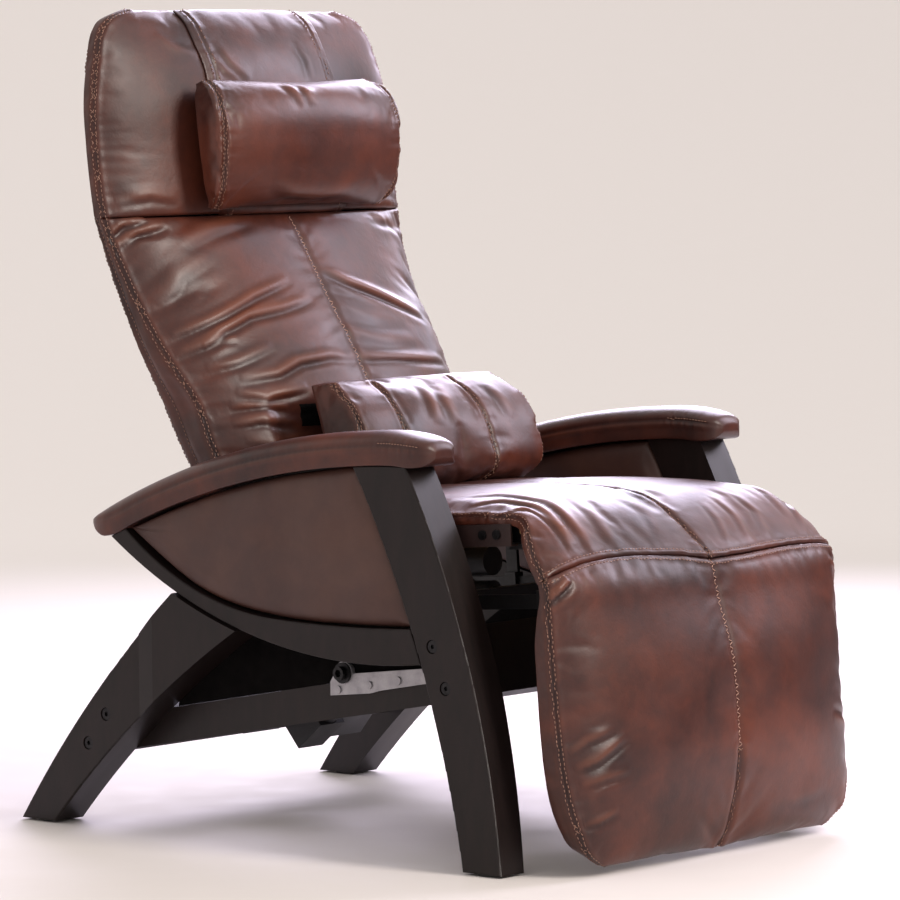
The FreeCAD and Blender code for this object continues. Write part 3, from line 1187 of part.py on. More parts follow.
def back_cover():
    stations = []
    for z, half_width in BACK_COVER:
        inner = back_front(z, BACK_BOARD - PAD_BITE)
        outer = back_front(z, BACK_BOARD + BACK_COVER_CROWN)
        stations.append((inner, outer, half_width, BACK_COVER_RIM + PAD_BITE))
    foot_low = back_front(BACK_LINE[0][1] - MEMBER, BACK_BOARD + BACK_KNUCKLE * 0.7)
    foot_high = back_front(BACK_LEVER_FOOT[1] + POCKET_GAP, BACK_BOARD + BACK_KNUCKLE * 0.7)
    pocket = bar_between(foot_low, foot_high, BACK_COVER_CROWN, LEVER_X - POCKET_GAP,
                         LEVER_OUTER_X + POCKET_GAP)
    return crowned_pad(stations).cut([back_board(), pocket, mirrored(pocket)])


def head_flap():
    front = []
    back = []
    for index, point in enumerate(FLAP_POINTS):
        before = FLAP_POINTS[max(index - 1, 0)]
        after = FLAP_POINTS[min(index + 1, len(FLAP_POINTS) - 1)]
        aim = (point[0] + after[0] - before[0], point[1] + after[1] - before[1])
        front.append(along(point, aim, 0, FLAP))
        back.append(along(point, aim, 0, -2 * FLAP))
    return prism(front + back[::-1], -FLAP_HALF_WIDTH, FLAP_HALF_WIDTH).cut(head_cushion())


# Leg rest

def legrest_front(z, behind=0.0):
    line = LEGREST_LINE
    return along(on_line(line, z), on_line(line, z + 1), 0, -behind)


def legrest_board():
    line = [(y, z, LEGREST_BOARD_HALF_WIDTH) for y, z in LEGREST_LINE[::-1]]
    return board(line, LEGREST_BOARD).cut(legrest_pockets())


def legrest_pockets():
    """Room for lever, ear, bar end and pins inside the leg rest."""
    x_low = BAR_INNER_X - LINK_PIN_HEAD - POCKET_GAP
    x_high = EAR_OUTER_X + PIN_HEAD + POCKET_GAP
    pocket = seat_prism(LEGREST_POCKET, x_low, x_high)
    pocket = pocket.fuse(rod(KNEE, KNEE_KNUCKLE + 2 * POCKET_GAP, x_low, x_high))
    return [pocket, mirrored(pocket)]


def legrest_lever():
    """Left lever: knee eye, slot for the bar's pin, foot behind the board."""
    x = (LEVER_X, LEVER_OUTER_X)
    pin = sync_pin_points()[0]
    slot_near = along(KNEE, pin, BAR_DROP)
    slot = capsule(along(KNEE, pin, BAR_DROP - SIDE_GAP), along(KNEE, pin, math.dist(KNEE, pin) + SIDE_GAP),
                   LINK_PIN_RADIUS + LOOP_CLEARANCE, *x)
    wall = LINK_PIN_RADIUS + LOOP_CLEARANCE + SLOT_WALL
    lobe = capsule(slot_near, pin, wall, *x)
    stem = bar_between(KNEE, pin, KNEE_KNUCKLE, *x)
    top = legrest_front(LEGREST_LINE[0][1], LEGREST_BOARD)
    foot = legrest_front(LEGREST_LEVER_FOOT, LEGREST_BOARD)
    knee_arm = prism([(pin[0], pin[1] + wall), (top[0] + 2 * LEVER, top[1] + LEVER),
                      (top[0] + 2 * LEVER, top[1] - 2 * wall), (foot[0] + LEVER, foot[1]),
                      (foot[0] - LEVER, foot[1]), (top[0] - LEVER, top[1]), pin], *x)
    lever = fused([rod(KNEE, KNEE_KNUCKLE + SIDE_GAP, *x), lobe, stem, knee_arm])
    line = [(y, z, LEGREST_BOARD_HALF_WIDTH) for y, z in LEGREST_LINE[::-1]]
    return lever.cut([slot, rod(KNEE, KNEE_PIN_RADIUS + PIN_CLEARANCE, *x), board(line, LEGREST_BOARD)])


def calf_motors(extra=0.0):
    point = on_line(LEGREST_LINE, CALF_MASSAGE_Z)
    toward = legrest_front(CALF_MASSAGE_Z, -1)
    return [motor_disc(point, toward, x, extra) for x in (CALF_MASSAGE_X, -CALF_MASSAGE_X)]


def legrest_cushion():
    pad = crowned_pad(LEGREST_PAD, LOOSE_CROWN)
    line = [(y, z, LEG_FACE_X) for y, z in LEGREST_LINE[::-1]]
    return pad.cut([board(line, LEGREST_BOARD)] + legrest_pockets() + calf_motors(CONTACT_GAP)
                   + [knee_relief()])


# Pillows

def lumbar_pillow():
    pillow = crowned_pad(LUMBAR_PILLOW)
    slope = (BACK_PAD[4][1][0] - BACK_PAD[3][1][0]) / (BACK_PAD[4][1][1] - BACK_PAD[3][1][1])

    def before_back(z):
        y, height = BACK_PAD[3][1]
        return (y + slope * (z - height) - 2 * CONTACT_GAP, z)

    bend = before_back(STRAP_BEND_Z)
    end = before_back(STRAP_END_Z)
    points = [STRAP_START, bend, end, along(end, bend, 0, -STRAP), along(bend, end, 0, STRAP),
              (STRAP_START[0], STRAP_START[1] + 2 * STRAP)]
    strap = prism(points, -STRAP_HALF_WIDTH, STRAP_HALF_WIDTH).cut(pillow)
    return Part.Compound([pillow] + strap.Solids)


# Every sub-part, in the order of its body

export_sides("front_leg", front_leg())
export_sides("rear_leg", rear_leg())
export_sides("arc_rail", arc_rail())
export_sides("arm_pad", arm_pad())
export_sides("outer_panel", leaf_pad(PANEL_BOARD_OUTER_X, PANEL_OUTER_X, PANEL_OUTER_X))
export_sides("inner_panel", leaf_pad(PANEL_INNER_X, PANEL_BOARD_INNER_X, PANEL_INNER_X))
export_sides("side_rail", side_rail())
export("arm_boards", pair([arm_core().cut(dowels()), leaf_blank(PANEL_BOARD_INNER_X, PANEL_BOARD_OUTER_X)]))
export("front_cross_rail",
       cross_rail(front_rail_box(-LEG_INNER_X, LEG_INNER_X), FRONT_BOLT_LOW, FRONT_BOLT_TOP))
export("rear_cross_rail", cross_rail(rear_rail_box(-LEG_INNER_X, LEG_INNER_X), REAR_BOLT_LOW, REAR_BOLT_TOP))
export("leg_bolts", leg_bolts())
export("barrel_nuts", barrel_nuts())
export("frame_dowels", pair(dowels()))
export("foot_glides", foot_glides())
export("pivot_plates", pair([pivot_plate()]))
export("plate_screws", pair(plate_screw_list()))
export("pivot_bolts", pair(pivot_bolt_set()))
export("tilt_bracket", tilt_bracket())
export("control_box", control_box())

export("seat_rails", pair([seat_rail()]))
export("seat_rail_wraps", pair([rail_wrap()]))
export("seat_frame_bolts", pair(frame_bolt_list()))
export("seat_arms", pair([seat_arm()]))
export("pivot_bushes", pair([pivot_bush()]))
export("seat_cross_members", cross_members())
export("seat_brackets", pair([knee_ear(), back_ear(), tilt_lug()]))
export("seat_pins", seat_pins())
export("bar_guides", bar_guides())
export("seat_board", seat_board())
export("seat_lip_board", lip_blank().cut(knee_pockets()))
export("seat_motors", Part.Compound(seat_massage_motors()))
export("seat_cushion", seat_cushion())
export("recline_actuator", recline_actuator())

export("sync_bars", sync_bars())
export("sync_pins", sync_pins())
export("recline_rod", recline_rod())
export("tilt_actuator", tilt_actuator())
export("tilt_rod", tilt_rod())

export("back_board", back_board())
export("back_levers", pair([back_lever()]))
export("back_motors", Part.Compound(back_massage_motors()))
export("heating_pad", heating_pad())
export("back_cushion", back_cushion())
export("head_cushion", head_cushion())
export("back_cover", back_cover())
export("head_flap", head_flap())

export("legrest_board", legrest_board())
export("legrest_levers", pair([legrest_lever()]))
export("calf_motors", Part.Compound(calf_motors()))
export("legrest_cushion", legrest_cushion())

export("head_pillow", crowned_pad(HEAD_PILLOW))
export("lumbar_pillow", lumbar_pillow())
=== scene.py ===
"""Looks of a power recliner with massage motors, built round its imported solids.

The frame is in metres: X across, Y to the back, Z up, and the sitter faces -Y. Tables of places are in
millimetres, as pairs of (Y, Z) unless a comment says otherwise.
"""

import json
import logging
import math
from dataclasses import dataclass, field
from enum import Enum
from typing import Any, Sequence

import bmesh
import bpy
import numpy as np
from mathutils import Matrix, Vector, noise
from mathutils.bvhtree import BVHTree

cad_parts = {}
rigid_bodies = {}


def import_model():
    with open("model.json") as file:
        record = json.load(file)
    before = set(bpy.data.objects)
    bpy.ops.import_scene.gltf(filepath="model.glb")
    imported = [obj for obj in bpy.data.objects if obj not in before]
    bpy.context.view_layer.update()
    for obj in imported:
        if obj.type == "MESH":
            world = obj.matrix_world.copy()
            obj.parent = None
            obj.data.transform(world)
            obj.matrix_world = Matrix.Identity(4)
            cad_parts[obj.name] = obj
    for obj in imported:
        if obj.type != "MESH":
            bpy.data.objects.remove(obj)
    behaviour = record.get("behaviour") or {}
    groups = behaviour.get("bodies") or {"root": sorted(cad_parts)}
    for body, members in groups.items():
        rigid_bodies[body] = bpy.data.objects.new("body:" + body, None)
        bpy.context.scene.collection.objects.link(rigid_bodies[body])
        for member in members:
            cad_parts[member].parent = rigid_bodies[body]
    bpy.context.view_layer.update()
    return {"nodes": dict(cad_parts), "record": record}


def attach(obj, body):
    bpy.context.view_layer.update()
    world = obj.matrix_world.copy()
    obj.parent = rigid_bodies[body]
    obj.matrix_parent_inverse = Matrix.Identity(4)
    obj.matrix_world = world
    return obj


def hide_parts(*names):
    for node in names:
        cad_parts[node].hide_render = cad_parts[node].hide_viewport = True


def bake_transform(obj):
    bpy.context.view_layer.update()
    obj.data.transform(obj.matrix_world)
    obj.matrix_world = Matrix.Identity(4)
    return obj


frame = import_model()
LOG = logging.getLogger("recliner")
MM = 0.001
Points = Sequence[tuple[float, ...]]

KNEE = (-452.0, 402.0)            # hinge of the leg rest
SEAT_FALL = math.radians(4.0)     # the seat frame falls to the back
KNEE_INNER = (30.0, -10.0)        # the seam's plane over the hinge, back and up from it on the seat's axes
KNEE_OUTER = (-15.5, 13.0)


def seat_point(back: float, up: float) -> tuple[float, float]:
    """World (Y, Z) of a point on the seat frame's falling axes, from the knee hinge."""
    return (KNEE[0] + back * math.cos(SEAT_FALL) + up * math.sin(SEAT_FALL),
            KNEE[1] - back * math.sin(SEAT_FALL) + up * math.cos(SEAT_FALL))


def smooth_rows(keys: np.ndarray, rows: np.ndarray, at: np.ndarray) -> np.ndarray:
    """Smooth curves through rows of numbers.

    Args:
        keys: rising key of each row.
        rows: one row of numbers for each key.
        at: keys to find rows for.

    Returns:
        One row for each key asked for.
    """
    slopes = np.gradient(rows, keys, axis=0)
    index = np.clip(np.searchsorted(keys, at, side="right") - 1, 0, len(keys) - 2)
    span = (keys[index + 1] - keys[index])[:, None]
    t = (at - keys[index])[:, None] / span
    return ((2 * t ** 3 - 3 * t ** 2 + 1) * rows[index] + (t ** 3 - 2 * t ** 2 + t) * span * slopes[index]
            + (3 * t ** 2 - 2 * t ** 3) * rows[index + 1] + (t ** 3 - t ** 2) * span * slopes[index + 1])


def chord_lengths(points: np.ndarray) -> np.ndarray:
    """Distance along a line of points, from its start to each point."""
    return np.concatenate([[0.0], np.cumsum(np.linalg.norm(np.diff(points, axis=0), axis=1))])


def resampled(points: np.ndarray, step: float) -> np.ndarray:
    """The same line with points a step apart."""
    keys = chord_lengths(points)
    at = np.linspace(0.0, keys[-1], max(2, int(round(keys[-1] / step)) + 1))
    return np.stack([np.interp(at, keys, points[:, axis]) for axis in range(points.shape[1])], 1)


def linear(code: str) -> tuple[float, float, float, float]:
    """Linear RGBA of an sRGB hex colour."""
    values = [int(code[i:i + 2], 16) / 255 for i in (1, 3, 5)]
    return tuple(v / 12.92 if v <= 0.04045 else ((v + 0.055) / 1.055) ** 2.4 for v in values) + (1.0,)


def add_node(tree: bpy.types.NodeTree, kind: str, inputs: dict[Any, Any] | None = None,
             **settings: Any) -> bpy.types.Node:
    """Add a node with its settings and links.

    Args:
        tree: the node tree that gets it.
        kind: the node's type.
        inputs: value or output socket for each input, by name or number.
        settings: values of the node's own properties.

    Returns:
        The new node.
    """
    node = tree.nodes.new(kind)
    for key, value in settings.items():
        setattr(node, key, value)
    for key, value in (inputs or {}).items():
        if isinstance(value, bpy.types.NodeSocket):
            tree.links.new(value, node.inputs[key])
        else:
            node.inputs[key].default_value = value
    return node


def step_between(tree: bpy.types.NodeTree, value: bpy.types.NodeSocket, low: float,
                 high: float) -> bpy.types.NodeSocket:
    """A smooth step from 0 to 1 between two values."""
    return add_node(tree, "ShaderNodeMapRange", {"Value": value, "From Min": low, "From Max": high},
                    interpolation_type="SMOOTHSTEP").outputs["Result"]


def mixed(tree: bpy.types.NodeTree, share: bpy.types.NodeSocket, first: Any, second: Any) -> bpy.types.NodeSocket:
    """Two colours mixed by a share."""
    return add_node(tree, "ShaderNodeMix", {0: share, 6: first, 7: second}, data_type="RGBA").outputs[2]


def ramp(tree: bpy.types.NodeTree, value: bpy.types.NodeSocket, stops: dict[float, str]) -> bpy.types.NodeSocket:
    """Colours by a value, through stops at rising places."""
    node = add_node(tree, "ShaderNodeValToRGB", {"Fac": value})
    places = list(stops)
    for i, place in enumerate((places[0], places[-1])):
        node.color_ramp.elements[i].position = place
        node.color_ramp.elements[i].color = linear(stops[place])
    for place in places[1:-1]:
        node.color_ramp.elements.new(place).color = linear(stops[place])
    return node.outputs["Color"]


# Finishes

@dataclass(frozen=True)
class Finish:
    """A finish with a plain colour that varies a little, for parts that are hardly seen."""

    name: str
    colour: str
    shade: str
    roughness: float = 0.5
    metallic: float = 0.0
    grain_mm: float = 3.0
    bump_mm: float = 0.05
    stretch: tuple[float, float, float] = (1.0, 1.0, 1.0)
    coat: float = 0.0
    coat_roughness: float = 0.2
    sheen: float = 0.0
    sheen_tint: str = "#ffffff"
    ior: float = 1.5

    def tint(self, tree: bpy.types.NodeTree, place: bpy.types.NodeSocket) -> bpy.types.NodeSocket:
        """Colour that drifts between the finish's two shades."""
        spots = add_node(tree, "ShaderNodeTexNoise", {"Vector": place, "Scale": 160.0 / self.grain_mm, "Detail": 5.0,
                                                      "Roughness": 0.65})
        return ramp(tree, spots.outputs["Fac"], {0.35: self.shade, 0.65: self.colour})

    def relief(self, tree: bpy.types.NodeTree, place: bpy.types.NodeSocket) -> bpy.types.NodeSocket:
        """Bump of the surface's grain."""
        grain = add_node(tree, "ShaderNodeTexNoise", {"Vector": place, "Scale": 1000.0 / self.grain_mm,
                                                      "Detail": 4.0})
        bump = add_node(tree, "ShaderNodeBump", {"Height": grain.outputs["Fac"], "Strength": 1.0,
                                                 "Distance": self.bump_mm * MM})
        return bump.outputs["Normal"]

    def gloss(self, tree: bpy.types.NodeTree, place: bpy.types.NodeSocket) -> bpy.types.NodeSocket:
        """Roughness that drifts by a tenth about the finish's own."""
        smear = add_node(tree, "ShaderNodeTexNoise", {"Vector": place, "Scale": 14.0, "Detail": 3.0})
        spread = add_node(tree, "ShaderNodeMapRange",
                          {"Value": smear.outputs["Fac"], "From Min": 0.3, "From Max": 0.7,
                           "To Min": self.roughness * 0.86, "To Max": self.roughness * 1.14})
        return spread.outputs["Result"]

    def material(self) -> bpy.types.Material:
        """Build the finish as a material."""
        made = bpy.data.materials.new(self.name)
        made.use_nodes = True
        tree = made.node_tree
        tree.nodes.clear()
        coordinates = add_node(tree, "ShaderNodeTexCoord")
        mapping = add_node(tree, "ShaderNodeMapping", {"Vector": coordinates.outputs["Object"], "Scale": self.stretch})
        place = mapping.outputs["Vector"]
        shader = add_node(tree, "ShaderNodeBsdfPrincipled",
                          {"Base Color": self.tint(tree, place), "Roughness": self.gloss(tree, place),
                           "Metallic": self.metallic, "Normal": self.relief(tree, place),
                           "Coat Weight": self.coat, "Coat Roughness": self.coat_roughness,
                           "Sheen Weight": self.sheen, "Sheen Roughness": 0.4,
                           "Sheen Tint": linear(self.sheen_tint)})
        if not self.metallic:
            shader.inputs["IOR"].default_value = self.ior
        add_node(tree, "ShaderNodeOutputMaterial", {"Surface": shader.outputs["BSDF"]})
        return made


@dataclass(frozen=True)
class PullUpLeather(Finish):
    """Waxed pull-up hide, rubbed by hand: brown fields cloud into darker ones, paler where it is stretched."""

    deep: str = "#341815"
    field_mm: float = 190.0
    # colour of the painted shade in creases and seam valleys
    painted_crease_shade: str = "#1d0d0b"
    worn_colour: str = "#7d4a35"

    def tint(self, tree: bpy.types.NodeTree, place: bpy.types.NodeSocket) -> bpy.types.NodeSocket:
        """Clouds of three browns, darkened by painted shade in the creases and seam valleys, and paler on worn ridges.
        """
        fields = add_node(tree, "ShaderNodeTexNoise", {"Vector": place, "Scale": 1000.0 / self.field_mm, "Detail": 3.0,
                                                       "Roughness": 0.55, "Distortion": 0.6})
        clouds = add_node(tree, "ShaderNodeTexNoise", {"Vector": place, "Scale": 4200.0 / self.field_mm, "Detail": 7.0,
                                                       "Roughness": 0.72, "Distortion": 0.3})
        blend = add_node(tree, "ShaderNodeMix", {0: 0.35, 2: fields.outputs["Fac"], 3: clouds.outputs["Fac"]})
        colour = ramp(tree, blend.outputs[0], {0.36: self.deep, 0.5: self.shade, 0.66: self.colour})
        # creases and seam valleys darken by painted shade; worn ridges turn paler
        for name, other in (("crease_shade", self.painted_crease_shade), ("wear", self.worn_colour)):
            share = add_node(tree, "ShaderNodeAttribute", attribute_name=name).outputs["Fac"]
            colour = mixed(tree, share, colour, linear(other))
        return colour

    def relief(self, tree: bpy.types.NodeTree, place: bpy.types.NodeSocket) -> bpy.types.NodeSocket:
        """Pebbled grain, drawn at 3 mm because the real 1 mm is under a pixel, over faint drawn wrinkles."""
        pebble = add_node(tree, "ShaderNodeTexVoronoi", {"Vector": place, "Scale": 1000.0 / self.grain_mm},
                          feature="SMOOTH_F1")
        drawn = add_node(tree, "ShaderNodeTexNoise", {"Vector": place, "Scale": 55.0, "Detail": 4.0, "Roughness": 0.55,
                                                      "Distortion": 0.8})
        first = add_node(tree, "ShaderNodeBump", {"Height": drawn.outputs["Fac"], "Strength": 1.0,
                                                  "Distance": 5 * self.bump_mm * MM})
        second = add_node(tree, "ShaderNodeBump", {"Height": pebble.outputs["Distance"], "Strength": 1.0,
                                                   "Distance": self.bump_mm * MM, "Normal": first.outputs["Normal"]})
        return second.outputs["Normal"]


@dataclass(frozen=True)
class StainedBeech(Finish):
    """Beech under espresso stain and satin lacquer: nearly black, with a grain that only shows in the gloss."""

    def tint(self, tree: bpy.types.NodeTree, place: bpy.types.NodeSocket) -> bpy.types.NodeSocket:
        """Long streaks of grain with pores between them."""
        streak = add_node(tree, "ShaderNodeTexNoise", {"Vector": place, "Scale": 1000.0 / self.grain_mm / 8,
                                                       "Detail": 6.0, "Roughness": 0.7, "Distortion": 0.4})
        return ramp(tree, streak.outputs["Fac"], {0.3: self.shade, 0.72: self.colour})


@dataclass(frozen=True)
class Webbing(Finish):
    """Woven polyester: ribs across the strap, drawn at 2.5 mm."""

    def relief(self, tree: bpy.types.NodeTree, place: bpy.types.NodeSocket) -> bpy.types.NodeSocket:
        """Ribs of the weave as bump."""
        ribs = add_node(tree, "ShaderNodeTexWave", {"Vector": place, "Scale": 1000.0 / self.grain_mm / 6.28,
                                                    "Distortion": 0.4}, bands_direction="X")
        bump = add_node(tree, "ShaderNodeBump", {"Height": ribs.outputs["Fac"], "Strength": 1.0,
                                                 "Distance": self.bump_mm * MM})
        return bump.outputs["Normal"]


@dataclass(frozen=True)
class Backdrop(Finish):
    """Studio paint, darkened near the chair as painted shade where the lamps stand close, and painted black as painted
    shade of the studio's dark side beyond one side of the camera's view.
    """

    # painted shade: black that stands for the studio's unlit side, seen in reflections
    cloth: str = "#1c1a19"
    dark_side_way: tuple[float, float, float] = (0.8, -0.6, 0.0)

    def tint(self, tree: bpy.types.NodeTree, place: bpy.types.NodeSocket) -> bpy.types.NodeSocket:
        """Painted shade near the chair, the paler tone on the far wall, and a painted black for the studio's dark side
        by direction.
        """
        reach = add_node(tree, "ShaderNodeVectorMath", {0: place}, operation="LENGTH").outputs["Value"]
        along = add_node(tree, "ShaderNodeVectorMath", {0: place, 1: self.dark_side_way}, operation="DOT_PRODUCT")
        share = add_node(tree, "ShaderNodeMath", {0: along.outputs["Value"], 1: reach}, operation="DIVIDE")
        dark_side_share = add_node(tree, "ShaderNodeMath", {0: step_between(tree, share.outputs["Value"], 0.45, 0.75),
                                                    1: step_between(tree, reach, 1.6, 2.6)}, operation="MULTIPLY")
        # darker near the chair as painted shade against the close lamps, paler on the far wall
        paint = mixed(tree, step_between(tree, reach, 2.2, 5.0), linear(self.colour), linear(self.shade))
        return mixed(tree, dark_side_share.outputs["Value"], paint, linear(self.cloth))

    def material(self) -> bpy.types.Material:
        """The paint on the studio's inside, clear for a camera that stands outside it."""
        made = super().material()
        tree = made.node_tree
        output = next(node for node in tree.nodes if node.type == "OUTPUT_MATERIAL")
        paint = output.inputs["Surface"].links[0].from_socket
        outside = add_node(tree, "ShaderNodeNewGeometry").outputs["Backfacing"]
        clear = add_node(tree, "ShaderNodeBsdfTransparent").outputs["BSDF"]
        seen = add_node(tree, "ShaderNodeMixShader", {0: outside, 1: paint, 2: clear})
        tree.links.new(seen.outputs["Shader"], output.inputs["Surface"])
        return made


FINISHES: dict[str, Finish] = {
    "leather": PullUpLeather("pull_up_leather", "#55281a", "#3e1d15", roughness=0.42, grain_mm=3.0, bump_mm=0.06,
                             deep="#28120f", coat=0.08, coat_roughness=0.3, sheen=0.02, sheen_tint="#cdbccb",
                             ior=1.42),
    "leather_panel": PullUpLeather("pull_up_leather_matt", "#4a2d22", "#40251d", roughness=0.55, bump_mm=0.05,
                                   deep="#361e19", coat=0.04, coat_roughness=0.4),
    # leather darkened as painted shade, for the wraps in the shadow under the seat
    "leather_painted_shade": PullUpLeather("pull_up_leather_painted_shade", "#2c1714", "#22110f", roughness=0.6, bump_mm=0.05,
                                   deep="#180b0a"),
    "frame_wood": StainedBeech("espresso_stained_beech", "#1c1211", "#0f0908", roughness=0.42, grain_mm=0.9,
                               bump_mm=0.02, stretch=(1.0, 0.35, 0.12), coat=0.03, ior=1.34),
    "covered_board": Webbing("black_lining_over_plywood", "#1b1a1a", "#100f0f", roughness=0.9, grain_mm=2.5,
                             bump_mm=0.15),
    "hidden_wood": Finish("raw_birch_plywood", "#b08d62", "#8f6d47", roughness=0.7, grain_mm=2.0,
                          stretch=(0.15, 1.0, 1.0)),
    "lining": Webbing("black_nonwoven_lining", "#0f0d0d", "#090808", roughness=0.9, grain_mm=2.5, bump_mm=0.2,
                      ior=1.12),
    "steel_dark": Finish("black_powder_coated_steel", "#1d1c1e", "#151416", roughness=0.5, metallic=0.2,
                         grain_mm=1.2, bump_mm=0.04),
    "steel": Finish("zinc_plated_steel", "#8f9093", "#6f7073", roughness=0.3, metallic=1.0, grain_mm=2.0,
                    bump_mm=0.01),
    "nylon": Finish("black_nylon", "#191819", "#111011", roughness=0.5, grain_mm=1.5, bump_mm=0.02),
    "black_plastic": Finish("moulded_black_abs", "#1d1d1e", "#121213", roughness=0.48, grain_mm=0.8, bump_mm=0.05),
    "black_steel": Finish("black_oxide_steel", "#2a292b", "#151516", roughness=0.33, metallic=0.7, grain_mm=1.5,
                          bump_mm=0.02),
    "plate_steel": Finish("bright_zinc_plated_plate", "#a5a3a6", "#8b898d", roughness=0.38, metallic=0.6,
                          grain_mm=4.0, bump_mm=0.02),
    "thread": Finish("bonded_polyester_thread", "#94705f", "#6f4d40", roughness=0.55, grain_mm=1.0, bump_mm=0.05),
    "seam_thread": Finish("thick_polyester_thread", "#a88474", "#866455", roughness=0.55, grain_mm=1.0,
                          bump_mm=0.05),
    # near colour darkened as painted shade where the lamps stand close; far wall paler
    "floor": Backdrop("matt_studio_paint", "#d9d3d0", "#f2edea", roughness=0.9, bump_mm=0.0),
}
MATERIALS: dict[str, bpy.types.Material] = {}


def finish(name: str) -> bpy.types.Material:
    """The material of a finish, made on first use."""
    if name not in MATERIALS:
        MATERIALS[name] = FINISHES[name].material()
    return MATERIALS[name]


# Seams and folds

class Where(Enum):
    """How a seam or fold is placed on a pad."""

    COLUMN = "along the pad at a share of its half width"
    ROW = "across the pad at a share of its length"
    RIM = "along the edge between front and side"
    SIDE = "along the side at a share of its depth"
    FRONT = "points of X and Z seen from the front"
    TOP = "points of X and Y seen from above"


CAST = {Where.FRONT: ((0, 2), 1, -1.0), Where.TOP: ((0, 1), 2, 2.0)}   # axes of the points, way of the rays, start
CLOTH = {"quality": 4, "mass": 0.25, "tension_stiffness": 18, "compression_stiffness": 12, "shear_stiffness": 6,
         "bending_stiffness": 0.35, "use_pressure": True, "uniform_pressure_force": 4.0,
         "vertex_group_mass": "held"}
STITCHES = {False: ("thread", 4.6, 1.3), True: ("seam_thread", 9.0, 1.5)}   # straight, and across the seam, in mm
STITCH_LIFT = 0.325   # how far a stitch's middle stands off the hide, in mm


@dataclass
class Line:
    """A seam or fold of a pad, in millimetres.

    A seam has stitch rows at offsets to its side. A fold has none and fades out at both ends.
    """

    where: Where
    at: float = 0.0
    points: Points = ()
    span: tuple[float, float] = (0.0, 1.0)
    depth: float = 2.6
    width: float = 3.4
    lip: float = 0.35
    stitches: tuple[float, ...] = ()
    pitch: float = 6.5
    swing: float = 0.0
    pucker: float = 0.0
    reach: float = 26.0
    wave: float = 17.0
    mirrored: bool = False
    held: bool = True

    @property
    def fades(self) -> bool:
        """Whether the line fades out at its ends."""
        return not self.stitches


def folds(*rows: tuple[Any, ...], where: Where = Where.FRONT) -> list[Line]:
    """Creases in the hide, from rows of a depth, a width and the points seen from one side."""
    return [Line(where, points=points, depth=depth, width=width, lip=0.8, held=False)
            for depth, width, *points in rows]


